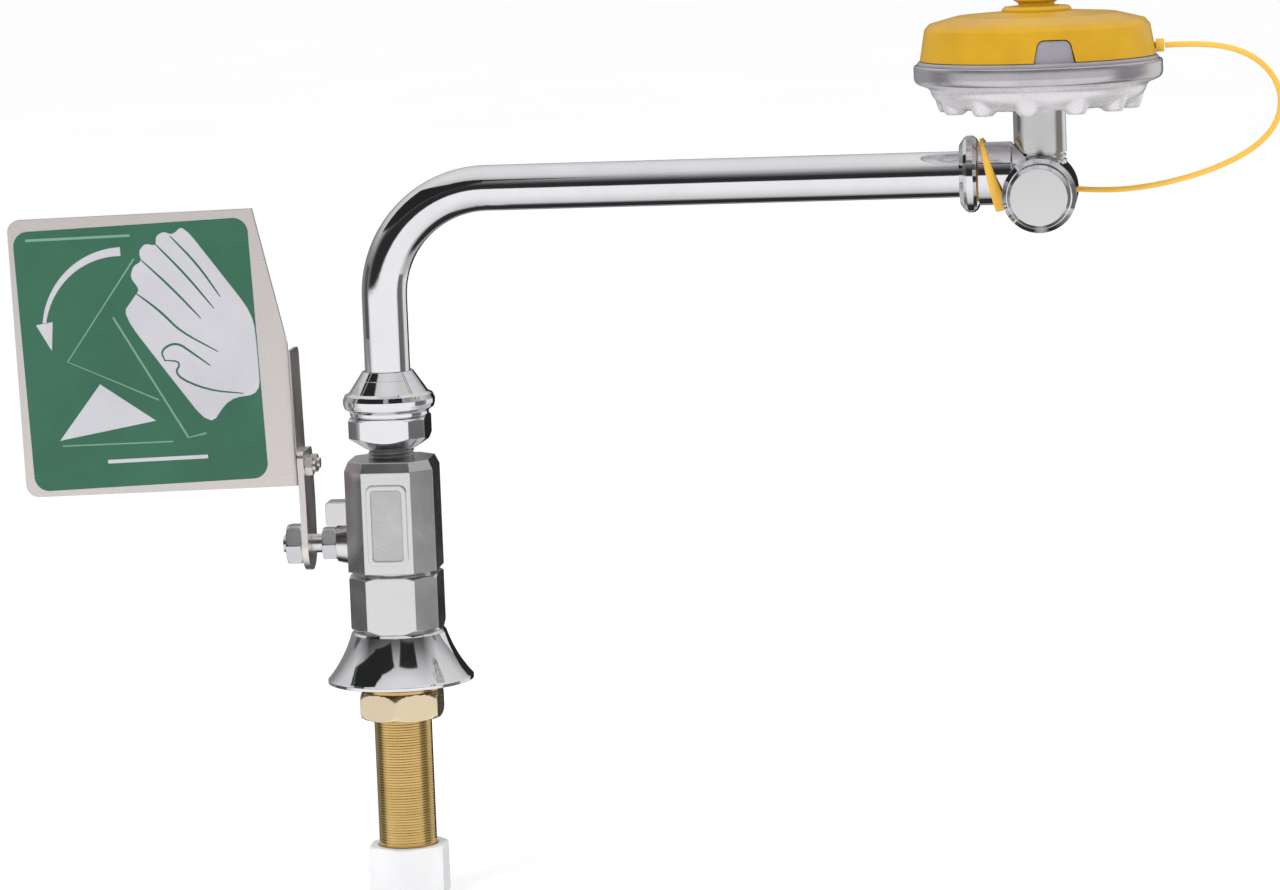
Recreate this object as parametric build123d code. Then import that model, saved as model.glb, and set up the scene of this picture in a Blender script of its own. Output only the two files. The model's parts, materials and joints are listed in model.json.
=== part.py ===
from build123d import *
import math
import os

# A deck-mounted eyewash station. Millimetres and degrees.
# The origin is on the column axis, at the deck plane under the escutcheon.
# +Z is up, +X runs along the spout and -Y is the front, where the label is.

# ---- clearances ----
turn_gap = 0.05        # running fit between pieces that turn on each other
body_gap = 0.3         # free gap between pieces of different moving bodies
loose_gap = 0.3        # clearance hole round a part that is only passed through
screw_gap = 0.2        # clearance of a screw in its hole

# ---- shank and deck hardware ----
shank_r = 13.7
shank_bore_r = 7.5
shank_drop = 97.0      # length of the shank below the deck
shank_nipple_r = 10.4
shank_nipple_length = 16.0
escutcheon_height = 24.3
escutcheon_base_r = 34.5
escutcheon_top_r = 22.5
escutcheon_lip = 2.2
escutcheon_wall = 1.8
escutcheon_top_wall = 2.0
gasket_width = 5.0
lock_nut_top = -4.8    # face of the nut below the deck plane
lock_nut_height = 13.0
lock_nut_wall = 7.6      # thread to corner
clamp_washer_width = 4.3
clamp_washer_thick = 1.6
supply_nut_wall = 6.8    # thread to corner
supply_nut_cover = 18.0   # thread that the supply nut covers
supply_nut_lip = 4.0
supply_hole_r = 6.6      # hole for a half-inch supply tube
supply_washer_hole_r = 8.0
supply_washer_thick = 2.4
strainer_r = 7.0
strainer_wall = 0.6
strainer_height = 15.0
strainer_flange_r = 11.0

# ---- ball valve ----
valve_half = 21.0         # half the width across the flats
valve_flat_half = 11.5    # half the width of each main flat
end_piece_height = 27.2
end_piece_step = 0.2      # the lower half is this much narrower each side
end_piece_bevel = 2.6
valve_groove = 2.0        # neck left open between the two valve halves
valve_neck_wall = 2.0
valve_body_height = 52.5
valve_top_taper_height = 4.5
valve_top_taper = 24.0
ball_r = 12.5
port_r = 7.5
ball_port_r = 7.0
chamber_gap = 0.7         # room round the ball
seat_inset = 1.0          # seats are this much smaller in radius than the ball
seat_margin = 1.0         # back face of each seat past the ball
seat_front = 7.0          # front edge of each seat from the ball's centre
spigot_wall = 1.8
spigot_length = 3.5
body_seal_thick = 1.0
pad_width = 19.0
pad_height = 38.0
pad_rise = 23.1           # centre of the pad above the valve body's lower face
pad_thick = 1.2
pad_rim = 2.2
pad_sink = 0.5
boss_r = 10.5
boss_end_r = 9.0
boss_length = 6.0
lug_length = 10.7
lug_width = 12.0
lug_low = 9.0             # underside of the stop lug above the stem axis
lug_high = 20.0

# ---- stem, packing and lever ----
stem_r = 4.5
stem_end_r = 4.0
stem_flange_r = 6.0
stem_flange_thick = 2.0
stem_flange_inset = 0.2   # inner face of the stem's flange inside the chamber's wall
tang_half = 2.0
tang_depth = 2.2          # depth of the ball's slot
thrust_washer_thick = 0.8
packing_r = 7.0
packing_depth = 5.0
packing_thick = 3.0
gland_wall = 3.8          # stem to corner
gland_height = 7.0
lever_gap = 5.5           # stem shown between the gland and the lever bar
lever_thick = 3.0
lever_half = 12.5
lever_bend = 19.0         # bend of the bar above the stem axis
lever_rise = 45.0         # top of the bar above the stem axis
lever_corner_r = 3.0
flag_lean = 1.25          # the bar's upper part and the flag lean outwards
washer_r = 9.0
washer_thick = 0.8
handle_nut_corner_r = 10.2
handle_nut_height = 7.7
stem_end_show = 2.0       # stem past the handle nut

# ---- flag ----
flag_thick = 1.5
flag_width = 130.0
flag_height = 131.5
flag_low = 29.5           # lower edge above the stem axis
flag_corner_r = 6.0
flag_bend_r = 3.0
flange_height = 63.5
flange_depth = 24.0
flange_corner_r = 4.0
flag_cut_width = 13.0     # slanted cut at the top corner by the lever
flag_cut_height = 66.5
label_width = 112.0
label_height = 123.0
label_corner_r = 7.0
label_thick = 0.3
label_side = 14.6         # label's edge from the flag's bent edge
label_low = 3.6           # label's lower edge above the flag's lower edge
label_turn = 1.0
flag_screw_r = 2.5
flag_screw_head_r = 4.4
flag_screw_head_height = 2.4
flag_screw_half_gap = 6.0
flag_screw_rise = 37.5    # screw axes above the stem axis
flag_nut_corner_r = 4.7
flag_nut_height = 3.6
flag_screw_end = 1.2

# ---- swivel at the foot of the spout ----
pipe_r = 10.65
pipe_wall = 2.75
adapter_thread_r = 10.4
adapter_thread_length = 14.0
adapter_neck_r = 10.0
adapter_neck_length = 5.0
adapter_half = 18.0
adapter_flat_half = 11.4
adapter_block_height = 15.0
adapter_bevel_height = 4.0
adapter_bevel = 5.8
swivel_wall = 3.85        # pipe to swivel thread
swivel_thread_length = 13.0
pipe_socket_floor = 1.0   # socket floor above the block's lower face
o_ring_depth = 1.4
o_ring_width = 2.5
o_ring_rises = (5.0, 10.0)   # lower edges of the grooves above the socket floor
swivel_washer_thick = 1.0
collar_gap = 0.7          # collar inside the coupling nut
collar_height = 3.4
nut_lip_height = 3.9
nut_top_wall = 1.35       # pipe to the edge of the nut's top
nut_foot_wall = 4.1       # thread to the nut's foot
nut_foot_height = 3.0
nut_bead_wall = 7.2       # thread to the nut's bead

# ---- spout ----
arm_height = 232.0        # axis of the level arm above the deck
arm_end = 286.0           # far end of the pipe from the column axis
bend_r = 50.0

# ---- end of the spout ----
pipe_grip = 11.0          # pipe inside the head adapter
end_nut_wall = 3.7        # thread to rim
end_nut_width = 8.8
end_nut_lip = 3.6
end_nut_thread_wall = 3.35   # pipe to thread
head_adapter_step = 0.5
head_adapter_past = 10.0  # adapter body past the end of the pipe
head_adapter_bore_r = 7.9
inlet_thread_r = 10.4
inlet_thread_length = 8.0
elbow_past = 12.6         # elbow's vertical axis past the adapter's end face
elbow_r = 17.0
elbow_drop = 8.3          # elbow barrel's axis below the arm's axis
elbow_front = 34.0
elbow_back = 13.5
elbow_bevel = 2.0
elbow_bore_r = 9.0
elbow_boss_r = 13.2
elbow_boss_length = 8.0
elbow_stub_r = 12.15
elbow_stub_top = 6.0      # top of the stub above the arm's axis
plug_r = 14.5
plug_thick = 6.0
plug_bevel = 1.5
plug_spigot_r = 12.0
plug_spigot_length = 9.0
plug_ring_depth = 1.8
plug_ring_width = 2.2
nipple_r = 12.15
nipple_neck_r = 11.0
nipple_thread_r = 10.4
nipple_thread_length = 11.0
nipple_step = 1.15        # height of each of the three steps at the nipple's foot
nipple_length = 24.0
nipple_bore_r = 8.0
regulator_thick = 4.0
regulator_hole_r = 3.0
regulator_rise = 10.0
screen_thick = 0.8

# ---- head ----
head_turn = 10.0          # the head is turned on its nipple
head_wall = 2.6
head_hub_r = 14.0
head_hub_height = 8.0
bowl_r = 57.2
bowl_floor_inset = 19.2
bowl_step_inset = 8.2
bowl_floor_rise = 0.5
bowl_step_rise = 6.5
bowl_ledge_rise = 17.0
bowl_rise = 21.0
bowl_lip = 1.8            # bowl's rim round the plate
bowl_seat_width = 2.4
plate_floor = 2.5
plate_flange = 4.7
plate_rim = 4.0
gasket_thick = 1.0
boss_count = 12
underside_boss_r = 4.5
underside_boss_inset = 15.2
underside_boss_drop = 1.3
screw_r = 1.5
screw_head_r = 2.7
screw_head_height = 1.8
screw_sink = 0.6
post_r = 3.2
post_length = 10.0
tower_inset = 6.9         # lug's centre inside the cover's foot
tower_depth = 8.6
tower_foot_half = 9.8
tower_top_half = 6.9
tower_height = 12.5
tower_top_r = 3.2
tower_root = 0.2          # depth of the lug's root in the plate
nozzle_ring = 27.0
nozzle_r = 8.0
nozzle_height = 6.0
nozzle_bore_r = 6.0
nozzle_face = 1.2
nozzle_hole_r = 0.9
nozzle_hole_ring = 3.6
nozzle_hole_count = 6

# ---- dust cover ----
cover_inset = 1.2         # cover's foot inside the plate's edge
cover_shoulder_inset = 2.4
cover_bevel_inset = 4.7
cover_top_inset = 16.5
cover_crown_r = 16.5
cover_wall = 2.0
cover_side = 14.0
cover_bevel_rise = 16.6
cover_top_rise = 19.7
cover_crown_rise = 21.2
notch_gap = 0.45          # free gap between the notch and its lug
knob_base_r = 16.0
knob_base_height = 2.2
knob_r = 10.5
knob_height = 9.0
knob_waist_r = 8.4
knob_pin_r = 4.0
anchor_rise = 3.7         # strap anchor above the cover's lower edge
anchor_pin_r = 1.5
anchor_head_r = 3.0
anchor_head_length = 3.8
anchor_inner_length = 1.4

# ---- strap ----
strap_r = 1.3
loop_slack = 1.4
loop_thick = 1.6
loop_width = 3.8
loop_tilt = 11.0
loop_past = 1.0           # centre of the loop past the end of the pipe
strap_arc_share = 0.45
strap_points = [
    (366.8, 0.0, 288.7),
    (384.6, 0.3, 289.2),
    (403.4, 0.4, 284.9),
    (415.6, 0.2, 274.8),
    (420.0, 0.0, 261.4),
    (415.2, 0.2, 247.6),
    (400.6, 1.0, 236.2),
    (377.2, 2.6, 227.4),
    (351.0, 6.4, 222.3),
    (328.2, 14.2, 221.9),
    (308.4, 18.0, 224.6),
    (288.7, 16.9, 230.6),
]

# ---- radii that follow from the sizes above ----
lock_nut_corner_r = shank_r + lock_nut_wall
clamp_washer_r = shank_r + clamp_washer_width
supply_nut_corner_r = shank_r + supply_nut_wall
gasket_r = escutcheon_base_r - 2.9
end_piece_half = valve_half - end_piece_step
chamber_r = ball_r + chamber_gap
seat_r = ball_r - seat_inset
seat_back = ball_r + seat_margin
spigot_r = chamber_r + spigot_wall
valve_neck_r = spigot_r + valve_neck_wall
gland_corner_r = stem_r + gland_wall
swivel_thread_r = pipe_r + swivel_wall
collar_r = swivel_thread_r - collar_gap
nut_top_r = pipe_r + nut_top_wall
nut_foot_r = swivel_thread_r + nut_foot_wall
nut_bead_r = swivel_thread_r + nut_bead_wall
end_nut_thread_r = pipe_r + end_nut_thread_wall
end_nut_r = end_nut_thread_r + end_nut_wall
head_adapter_r = end_nut_thread_r + head_adapter_step
loop_in_r = head_adapter_r + loop_slack
bowl_floor_r = bowl_r - bowl_floor_inset
bowl_step_r = bowl_r - bowl_step_inset
plate_r = bowl_r - bowl_lip
bowl_seat_r = plate_r - bowl_seat_width
plate_dish_r = plate_r - plate_rim
underside_boss_ring = bowl_r - underside_boss_inset
cover_r = plate_r - cover_inset
cover_shoulder_r = cover_r - cover_shoulder_inset
cover_bevel_r = cover_r - cover_bevel_inset
cover_top_r = cover_r - cover_top_inset
tower_ring = cover_r - tower_inset

# ---- heights and places that follow from the sizes above ----
end_piece_top = escutcheon_height + end_piece_height
body_low = end_piece_top + valve_groove
body_top = body_low + valve_body_height
stem_z = body_low + ball_r
block_low = body_top + adapter_neck_length
block_top = block_low + adapter_block_height
socket_floor = block_low + pipe_socket_floor
swivel_top = block_top + swivel_thread_length
collar_low = swivel_top + swivel_washer_thick
collar_top = collar_low + collar_height
nut_top = collar_top + 2 * turn_gap + nut_lip_height
pipe_low = socket_floor + 1.0
shank_low = -shank_drop
strainer_low = shank_low - strainer_wall
supply_washer_low = strainer_low - supply_washer_thick
supply_low = supply_washer_low - supply_nut_lip
boss_face = valve_half + boss_length
gland_face = boss_face + gland_height
stem_flange_in = chamber_r - stem_flange_inset
tang_reach = ball_r - tang_depth
lever_in = gland_face + lever_gap
lever_out = lever_in + lever_thick
washer_out = lever_out + washer_thick
nut_out = washer_out + handle_nut_height
stem_out = nut_out + stem_end_show
bar_mid = lever_in + lever_thick / 2
bend_z = stem_z + lever_bend
flag_z = stem_z + flag_low
flag_front = lever_half + flag_thick
screw_z = stem_z + flag_screw_rise
adapter_start = arm_end - pipe_grip
adapter_end = arm_end + head_adapter_past
inlet_start = adapter_end - inlet_thread_length
end_nut_start = adapter_start - end_nut_lip
head_x = adapter_end + elbow_past
barrel_z = arm_height - elbow_drop
stub_top = arm_height + elbow_stub_top
nipple_body_low = stub_top + 3 * nipple_step
bowl_z = stub_top + nipple_length
ledge_z = bowl_z + bowl_ledge_rise
plate_z = ledge_z + gasket_thick
plate_floor_z = plate_z + plate_floor
plate_top = plate_z + plate_flange
cover_z = plate_top + body_gap
knob_z = cover_z + cover_crown_rise


def turned(points):
    """Solid of revolution about Z from a closed outline of (radius, height) points."""
    outline = Polyline(*[(r, 0, z) for r, z in points], close=True)
    return revolve(make_face(outline), axis=Axis.Z)


def rod(radius, low, high):
    """Plain cylinder about Z."""
    return Pos(0, 0, low) * Cylinder(radius, high - low, align=(Align.CENTER, Align.CENTER, Align.MIN))


def ring(outer, inner, low, high):
    """Flat-ended tube about Z."""
    return rod(outer, low, high) - rod(inner, low, high)


def to_left(shape):
    """Turns a shape built up Z so that it points along -X, at the stem's height."""
    return Pos(0, 0, stem_z) * Rot(0, -90, 0) * shape


def to_right(shape):
    """Turns a shape built up Z so that it points along +X, on the arm's axis."""
    return Pos(0, 0, arm_height) * Rot(0, 90, 0) * shape


def to_front(shape):
    """Turns a shape built up Z so that it points along -Y, on the elbow barrel's axis."""
    return Pos(head_x, 0, barrel_z) * Rot(90, 0, 0) * shape


def on_head(shape):
    """Places a shape built about Z on the head's axis, turned as the head is."""
    return Pos(head_x, 0, 0) * Rot(0, 0, head_turn) * shape


def leaned(shape):
    """Leans a shape outwards with the upper part of the lever bar."""
    return Pos(-bar_mid, 0, bend_z) * Rot(0, -flag_lean, 0) * Pos(bar_mid, 0, -bend_z) * shape


def octagon(half, flat_half):
    """Square outline with cut corners, centred on Z."""
    quarter = [(flat_half, -half), (half, -flat_half), (half, flat_half), (flat_half, half)]
    return Polygon(*quarter, *[(-x, -y) for x, y in quarter], align=None)


def nut(corner_r, bore_r, low, high, bevel):
    """Hexagon nut about Z, a corner to the front, with its corners turned off at both faces."""
    blank = Pos(0, 0, low) * extrude(RegularPolygon(corner_r, 6, rotation=30), high - low)
    edge = bevel * 0.6
    envelope = turned([
        (0, low), (corner_r - bevel, low), (corner_r, low + edge),
        (corner_r, high - edge), (corner_r - bevel, high), (0, high),
    ])
    return (blank & envelope) - rod(bore_r, low, high)


# ---- shank and deck hardware ----

def shank():
    """Threaded brass tube that passes through the deck and carries the valve."""
    body = ring(shank_r, shank_bore_r, shank_low, escutcheon_height)
    nipple = ring(
        shank_nipple_r, shank_bore_r, escutcheon_height, escutcheon_height + shank_nipple_length
    )
    return body + nipple


def flare(base_r, low, top_r, high):
    """Concave side of the escutcheon, from its rim up to its top."""
    middle = (base_r * 0.405 + top_r * 0.595, 0, low + (high - low) * 0.51)
    bow = (middle[0] - 0.35, 0, middle[2])
    return ThreePointArc((base_r, 0, low), bow, (top_r, 0, high))


def escutcheon():
    """Bell-shaped cover over the hole in the deck, clamped under the valve."""
    hole_r = shank_r + loose_gap
    top = escutcheon_height
    shoulder = top - 1.2
    rim_r = escutcheon_base_r - 0.7
    inner_base_r = gasket_r
    inner_top = top - escutcheon_top_wall
    inner_top_r = escutcheon_top_r - escutcheon_wall
    outline = [
        Line((inner_base_r, 0, 0), (escutcheon_base_r, 0, 0)),
        Line((escutcheon_base_r, 0, 0), (escutcheon_base_r, 0, escutcheon_lip - 0.7)),
        Line((escutcheon_base_r, 0, escutcheon_lip - 0.7), (rim_r, 0, escutcheon_lip)),
        flare(rim_r, escutcheon_lip, escutcheon_top_r, shoulder),
        Line((escutcheon_top_r, 0, shoulder), (escutcheon_top_r - 1.0, 0, top)),
        Line((escutcheon_top_r - 1.0, 0, top), (hole_r, 0, top)),
        Line((hole_r, 0, top), (hole_r, 0, inner_top)),
        Line((hole_r, 0, inner_top), (inner_top_r, 0, inner_top)),
        flare(inner_base_r, escutcheon_lip, inner_top_r, inner_top),
        Line((inner_base_r, 0, escutcheon_lip), (inner_base_r, 0, 0)),
    ]
    return revolve(make_face(Wire(outline)), axis=Axis.Z)


def deck_gasket():
    """Soft ring inside the escutcheon's rim that seals against the deck."""
    return ring(gasket_r, gasket_r - gasket_width, 0, escutcheon_lip)


def clamp_washer():
    """Washer between the lock nut and the underside of the deck."""
    return ring(clamp_washer_r, shank_r + loose_gap, lock_nut_top, lock_nut_top + clamp_washer_thick)


def lock_nut():
    """Brass nut that clamps the station to the deck."""
    return nut(lock_nut_corner_r, shank_r, lock_nut_top - lock_nut_height, lock_nut_top, 2.0)


def supply_nut():
    """Coupling nut at the foot of the shank, with a lip round the supply tube."""
    high = shank_low + supply_nut_cover
    body = nut(supply_nut_corner_r, supply_hole_r, supply_low, high, 1.6)
    return body - rod(shank_r, supply_washer_low, high)


def supply_washer():
    """Sealing washer between the supply nut's lip and the strainer's flange."""
    return ring(shank_r - loose_gap, supply_washer_hole_r, supply_washer_low, strainer_low)


def inlet_strainer():
    """Thimble of fine mesh standing in the foot of the shank."""
    top = shank_low + strainer_height
    flange = ring(strainer_flange_r, strainer_r - strainer_wall, strainer_low, shank_low)
    side = ring(strainer_r, strainer_r - strainer_wall, shank_low, top)
    return flange + side + rod(strainer_r, top, top + strainer_wall)


# ---- valve ----

def valve_end_piece():
    """Lower half of the valve, which screws on the shank and closes the ball chamber."""
    low = escutcheon_height
    corner_r = math.hypot(end_piece_half, valve_flat_half)
    block = Pos(0, 0, low) * extrude(octagon(end_piece_half, valve_flat_half), end_piece_height)
    envelope = turned([
        (0, low), (corner_r - end_piece_bevel, low), (corner_r, low + end_piece_bevel),
        (corner_r, end_piece_top - 1.2), (corner_r - 1.8, end_piece_top), (0, end_piece_top),
    ])
    neck = rod(valve_neck_r, end_piece_top, body_low)
    spigot = rod(spigot_r, body_low, body_low + spigot_length)
    solid = (block & envelope) + neck + spigot
    solid -= rod(shank_nipple_r, low, low + shank_nipple_length)
    solid -= rod(port_r, low, stem_z)
    return solid - rod(seat_r, stem_z - seat_back, stem_z)


def valve_shell():
    """Outside of the valve body: octagonal forging, pad, stem boss and stop lug."""
    straight = valve_body_height - valve_top_taper_height
    outline = octagon(valve_half, valve_flat_half)
    shell = Pos(0, 0, body_low) * extrude(outline, straight)
    shell += Pos(0, 0, body_low + straight) * extrude(outline, valve_top_taper_height, taper=valve_top_taper)
    face = Plane.XZ.offset(valve_half)
    middle = Pos(0, body_low + pad_rise)
    shell += extrude(face * middle * RectangleRounded(pad_width, pad_height, 3.5), pad_thick)
    panel = RectangleRounded(pad_width - 2 * pad_rim, pad_height - 2 * pad_rim, 2.0)
    shell -= extrude(face.offset(pad_thick - pad_sink) * middle * panel, pad_sink)
    boss = turned([(0, valve_half - 1), (boss_r, valve_half - 1), (boss_end_r, boss_face), (0, boss_face)])
    lug = Pos(-valve_half - lug_length / 2 + 0.5, 0, stem_z + (lug_low + lug_high) / 2) * Box(
        lug_length + 1, lug_width, lug_high - lug_low
    )
    outer_edges = lug.edges().filter_by(Axis.Y).group_by(Axis.X)[0]
    return shell + to_left(boss) + fillet(outer_edges, 1.2)


def valve_body():
    """Upper half of the valve, with the ball chamber, the stem hole and the outlet thread."""
    solid = valve_shell()
    solid -= rod(spigot_r, body_low, body_low + spigot_length + body_seal_thick)
    solid -= rod(chamber_r, body_low, stem_z + seat_front + 2.0)
    solid -= rod(seat_r, stem_z, stem_z + seat_back)
    solid -= rod(port_r, stem_z, body_top)
    solid -= rod(adapter_thread_r, body_top - adapter_thread_length, body_top)
    flange_end = stem_flange_in + stem_flange_thick + thrust_washer_thick + turn_gap
    solid -= to_left(rod(stem_flange_r + body_gap, 0, flange_end))
    solid -= to_left(rod(stem_r + turn_gap, 0, boss_face))
    return solid - to_left(rod(packing_r, boss_face - packing_depth, boss_face))


def seat(direction):
    """Sealing ring that bears on the ball, above (+1) or below (-1) its centre."""
    body = ring(seat_r, ball_port_r, seat_front, seat_back)
    if direction < 0:
        body = mirror(body, about=Plane.XY)
    return Pos(0, 0, stem_z) * (body - Sphere(ball_r + turn_gap))


def body_seal():
    """Ring that seals the joint between the two valve halves."""
    low = body_low + spigot_length
    return ring(spigot_r, chamber_r + 0.1, low, low + body_seal_thick)


def stem_packing():
    """Packing ring round the stem, at the bottom of the boss."""
    low = boss_face - packing_depth
    return to_left(ring(packing_r, stem_r + turn_gap, low, low + packing_thick))


def gland_nut():
    """Hexagon gland that presses the packing and guides the stem."""
    head = nut(gland_corner_r, stem_r + 2 * turn_gap, boss_face, gland_face, 1.2)
    low = boss_face - packing_depth + packing_thick
    return to_left(head + ring(packing_r, stem_r + 2 * turn_gap, low, boss_face))


def ball():
    """Bored ball, shown closed, with a slot for the stem's tang."""
    solid = Sphere(ball_r) - Rot(90, 0, 0) * Cylinder(ball_port_r, 3 * ball_r)
    slot = Pos(-ball_r, 0, 0) * Box(2 * (ball_r - tang_reach), 2 * tang_half + 2 * turn_gap, 2 * ball_r)
    return Pos(0, 0, stem_z) * (solid - slot)


def stem():
    """Stem with a blow-out flange inside, a tang in the ball and a threaded end."""
    flange = rod(stem_flange_r, stem_flange_in, stem_flange_in + stem_flange_thick)
    body = rod(stem_r, stem_flange_in, lever_in) + rod(stem_end_r, lever_in, stem_out)
    reach = stem_flange_in - tang_reach - turn_gap
    tang = Pos(0, 0, stem_flange_in - reach / 2) * Box(2 * stem_flange_r - 1.5, 2 * tang_half, reach)
    return to_left(flange + body + tang)


def thrust_washer():
    """Washer between the stem's flange and the valve body."""
    low = stem_flange_in + stem_flange_thick
    return to_left(ring(stem_flange_r + 0.2, stem_r, low, low + thrust_washer_thick))


# ---- lever and flag ----

def lever_bar():
    """Flat bar on the stem, with a slight bend, that carries the flag."""
    side = Plane.YZ.offset(-lever_out)
    lower = Circle(lever_half) + Pos(0, lever_bend / 2) * Rectangle(2 * lever_half, lever_bend)
    lower_bar = extrude(side * Pos(0, stem_z) * (lower - Circle(stem_end_r)), lever_thick)
    rise = lever_rise - lever_bend
    upper = Pos(0, bend_z + rise / 2) * Rectangle(2 * lever_half, rise)
    upper_bar = extrude(side * upper, lever_thick)
    top = upper_bar.edges().filter_by(Axis.X).group_by(Axis.Z)[-1]
    upper_bar = fillet(top, lever_corner_r) - flag_screw_holes()
    return lower_bar + leaned(upper_bar)


def flag_screw_places():
    """Centres of the two flag screws, as (y, z) before the lean."""
    return [(-flag_screw_half_gap, screw_z), (flag_screw_half_gap, screw_z)]


def flag_screw_holes():
    """Clearance holes for the flag screws through the bar and the flange."""
    radius = flag_screw_r + screw_gap
    holes = [
        Pos(-bar_mid, y, z) * Rot(0, 90, 0) * Cylinder(radius, 4 * lever_thick)
        for y, z in flag_screw_places()
    ]
    return holes[0] + holes[1]


def flag_plate():
    """Push flag of sheet steel, with its side bent back as a flange and a slanted corner."""
    right = -lever_out
    left = right - flag_width
    top = flag_z + flag_height
    outline = Polygon(
        (left, flag_z), (right, flag_z), (right, top - flag_cut_height),
        (right - flag_cut_width, top), (left, top), align=None,
    )
    front = Plane.XZ.offset(lever_half)
    plate = extrude(front * outline, flag_thick)
    corners = plate.edges().filter_by(Axis.Y)
    plate = fillet(corners.sort_by(Axis.X)[:2], flag_corner_r)
    flange_middle = (flange_depth + flag_thick) / 2 - flag_front
    flange = Pos(right - flag_thick / 2, flange_middle, flag_z + flange_height / 2) * Box(
        flag_thick, flange_depth + flag_thick, flange_height
    )
    flange = fillet(flange.edges().filter_by(Axis.X).group_by(Axis.Y)[-1], flange_corner_r)
    sheet = plate + flange
    bend = [
        edge for edge in sheet.edges().filter_by(Axis.Z)
        if abs(edge.center().Y + flag_front) < 0.01 and abs(edge.center().X - right) < 0.01
    ]
    sheet = fillet(bend, flag_bend_r)
    return leaned(sheet - flag_screw_holes())


def flag_label():
    """Plain rounded label on the front of the flag, stuck on a little crooked."""
    x = -lever_out - label_side - label_width / 2
    z = flag_z + label_low + label_height / 2
    face = Plane.XZ.offset(flag_front)
    sheet = RectangleRounded(label_width, label_height, label_corner_r)
    return leaned(extrude(face * Pos(x, z) * Rot(0, 0, label_turn) * sheet, label_thick))


def flag_screws():
    """Two pan-head screws from the flag side through the bar."""
    head_face = lever_out + flag_thick
    end = lever_in - flag_nut_height - flag_screw_end
    head = turned([
        (0, 0), (flag_screw_head_r, 0), (flag_screw_head_r, 1.0),
        (flag_screw_head_r - 1.4, flag_screw_head_height), (0, flag_screw_head_height),
    ])
    shaft = rod(flag_screw_r, end - head_face, 0)
    screw = Rot(0, -90, 0) * (head + shaft)
    pair = [Pos(-head_face, y, z) * screw for y, z in flag_screw_places()]
    return Compound([leaned(piece).solid() for piece in pair])


def flag_nuts():
    """Two nuts on the valve side of the bar."""
    blank = Rot(0, 90, 0) * nut(flag_nut_corner_r, flag_screw_r, 0, flag_nut_height, 0.6)
    pair = [Pos(-lever_in, y, z) * blank for y, z in flag_screw_places()]
    return Compound([leaned(piece).solid() for piece in pair])


def lever_lock_washer():
    """Washer between the lever bar and the handle nut."""
    return to_left(ring(washer_r, stem_end_r, lever_out, washer_out))


def handle_nut():
    """Nut that holds the lever bar on the stem."""
    return to_left(nut(handle_nut_corner_r, stem_end_r, washer_out, nut_out, 1.6))


# ---- swivel at the foot of the spout ----

def outlet_adapter():
    """Adapter screwed in the valve, with wrench flats and the socket that the pipe turns in."""
    block = Pos(0, 0, block_low) * extrude(octagon(adapter_half, adapter_flat_half), adapter_block_height)
    corner_r = math.hypot(adapter_half, adapter_flat_half)
    envelope = turned([
        (0, block_low), (adapter_half - adapter_bevel, block_low),
        (corner_r, block_low + adapter_bevel_height + 2.0), (corner_r, block_top - 1.0),
        (corner_r - 1.6, block_top), (0, block_top),
    ])
    solid = (block & envelope) + rod(adapter_neck_r, body_top, block_low)
    solid += rod(adapter_thread_r, body_top - adapter_thread_length, body_top)
    solid += rod(swivel_thread_r, block_top, swivel_top)
    solid -= rod(port_r, body_top - adapter_thread_length, swivel_top)
    solid -= rod(pipe_r + turn_gap, socket_floor, swivel_top)
    for rise in o_ring_rises:
        low = socket_floor + rise
        solid -= rod(pipe_r + turn_gap + o_ring_depth, low, low + o_ring_width)
    return solid


def spout_o_rings():
    """Two seals in the grooves of the outlet adapter."""
    inner = pipe_r + turn_gap
    rings = []
    for rise in o_ring_rises:
        low = socket_floor + rise
        rings.append(ring(inner + o_ring_depth, inner, low, low + o_ring_width).solid())
    return Compound(rings)


def swivel_washer():
    """Slip washer that the pipe's collar turns on."""
    return ring(collar_r, pipe_r + 2 * turn_gap, swivel_top, collar_low - turn_gap)


def spout_nut():
    """Round coupling nut with a bead, which holds the pipe's collar down."""
    low = block_top
    high = nut_top
    lip_low = high - nut_lip_height
    bead_low = low + nut_foot_height
    bead_high = bead_low + 8.4
    solid = turned([
        (swivel_thread_r, low), (nut_foot_r - 0.8, low), (nut_foot_r, low + 0.8),
        (nut_foot_r, bead_low - 0.6), (nut_bead_r - 0.6, bead_low + 1.2), (nut_bead_r, bead_low + 3.2),
        (nut_bead_r, bead_high - 3.2), (nut_bead_r - 1.0, bead_high - 1.0),
        (nut_bead_r - 3.0, bead_high), (nut_top_r, high), (pipe_r + 2 * turn_gap, high),
        (pipe_r + 2 * turn_gap, lip_low), (swivel_thread_r, lip_low),
    ])
    return solid


# ---- spout ----

def spout_tube():
    """Bent pipe: upright, quarter bend and level arm."""
    route = FilletPolyline(
        (0, 0, pipe_low), (0, 0, arm_height), (arm_end, 0, arm_height), radius=bend_r
    )
    start = Plane(origin=route @ 0, z_dir=route % 0)
    outside = sweep(start * Circle(pipe_r), path=route)
    return outside - sweep(start * Circle(pipe_r - pipe_wall), path=route)


def spout_collar():
    """Ring brazed on the pipe that the coupling nut holds down."""
    return ring(collar_r, pipe_r, collar_low, collar_top)


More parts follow.
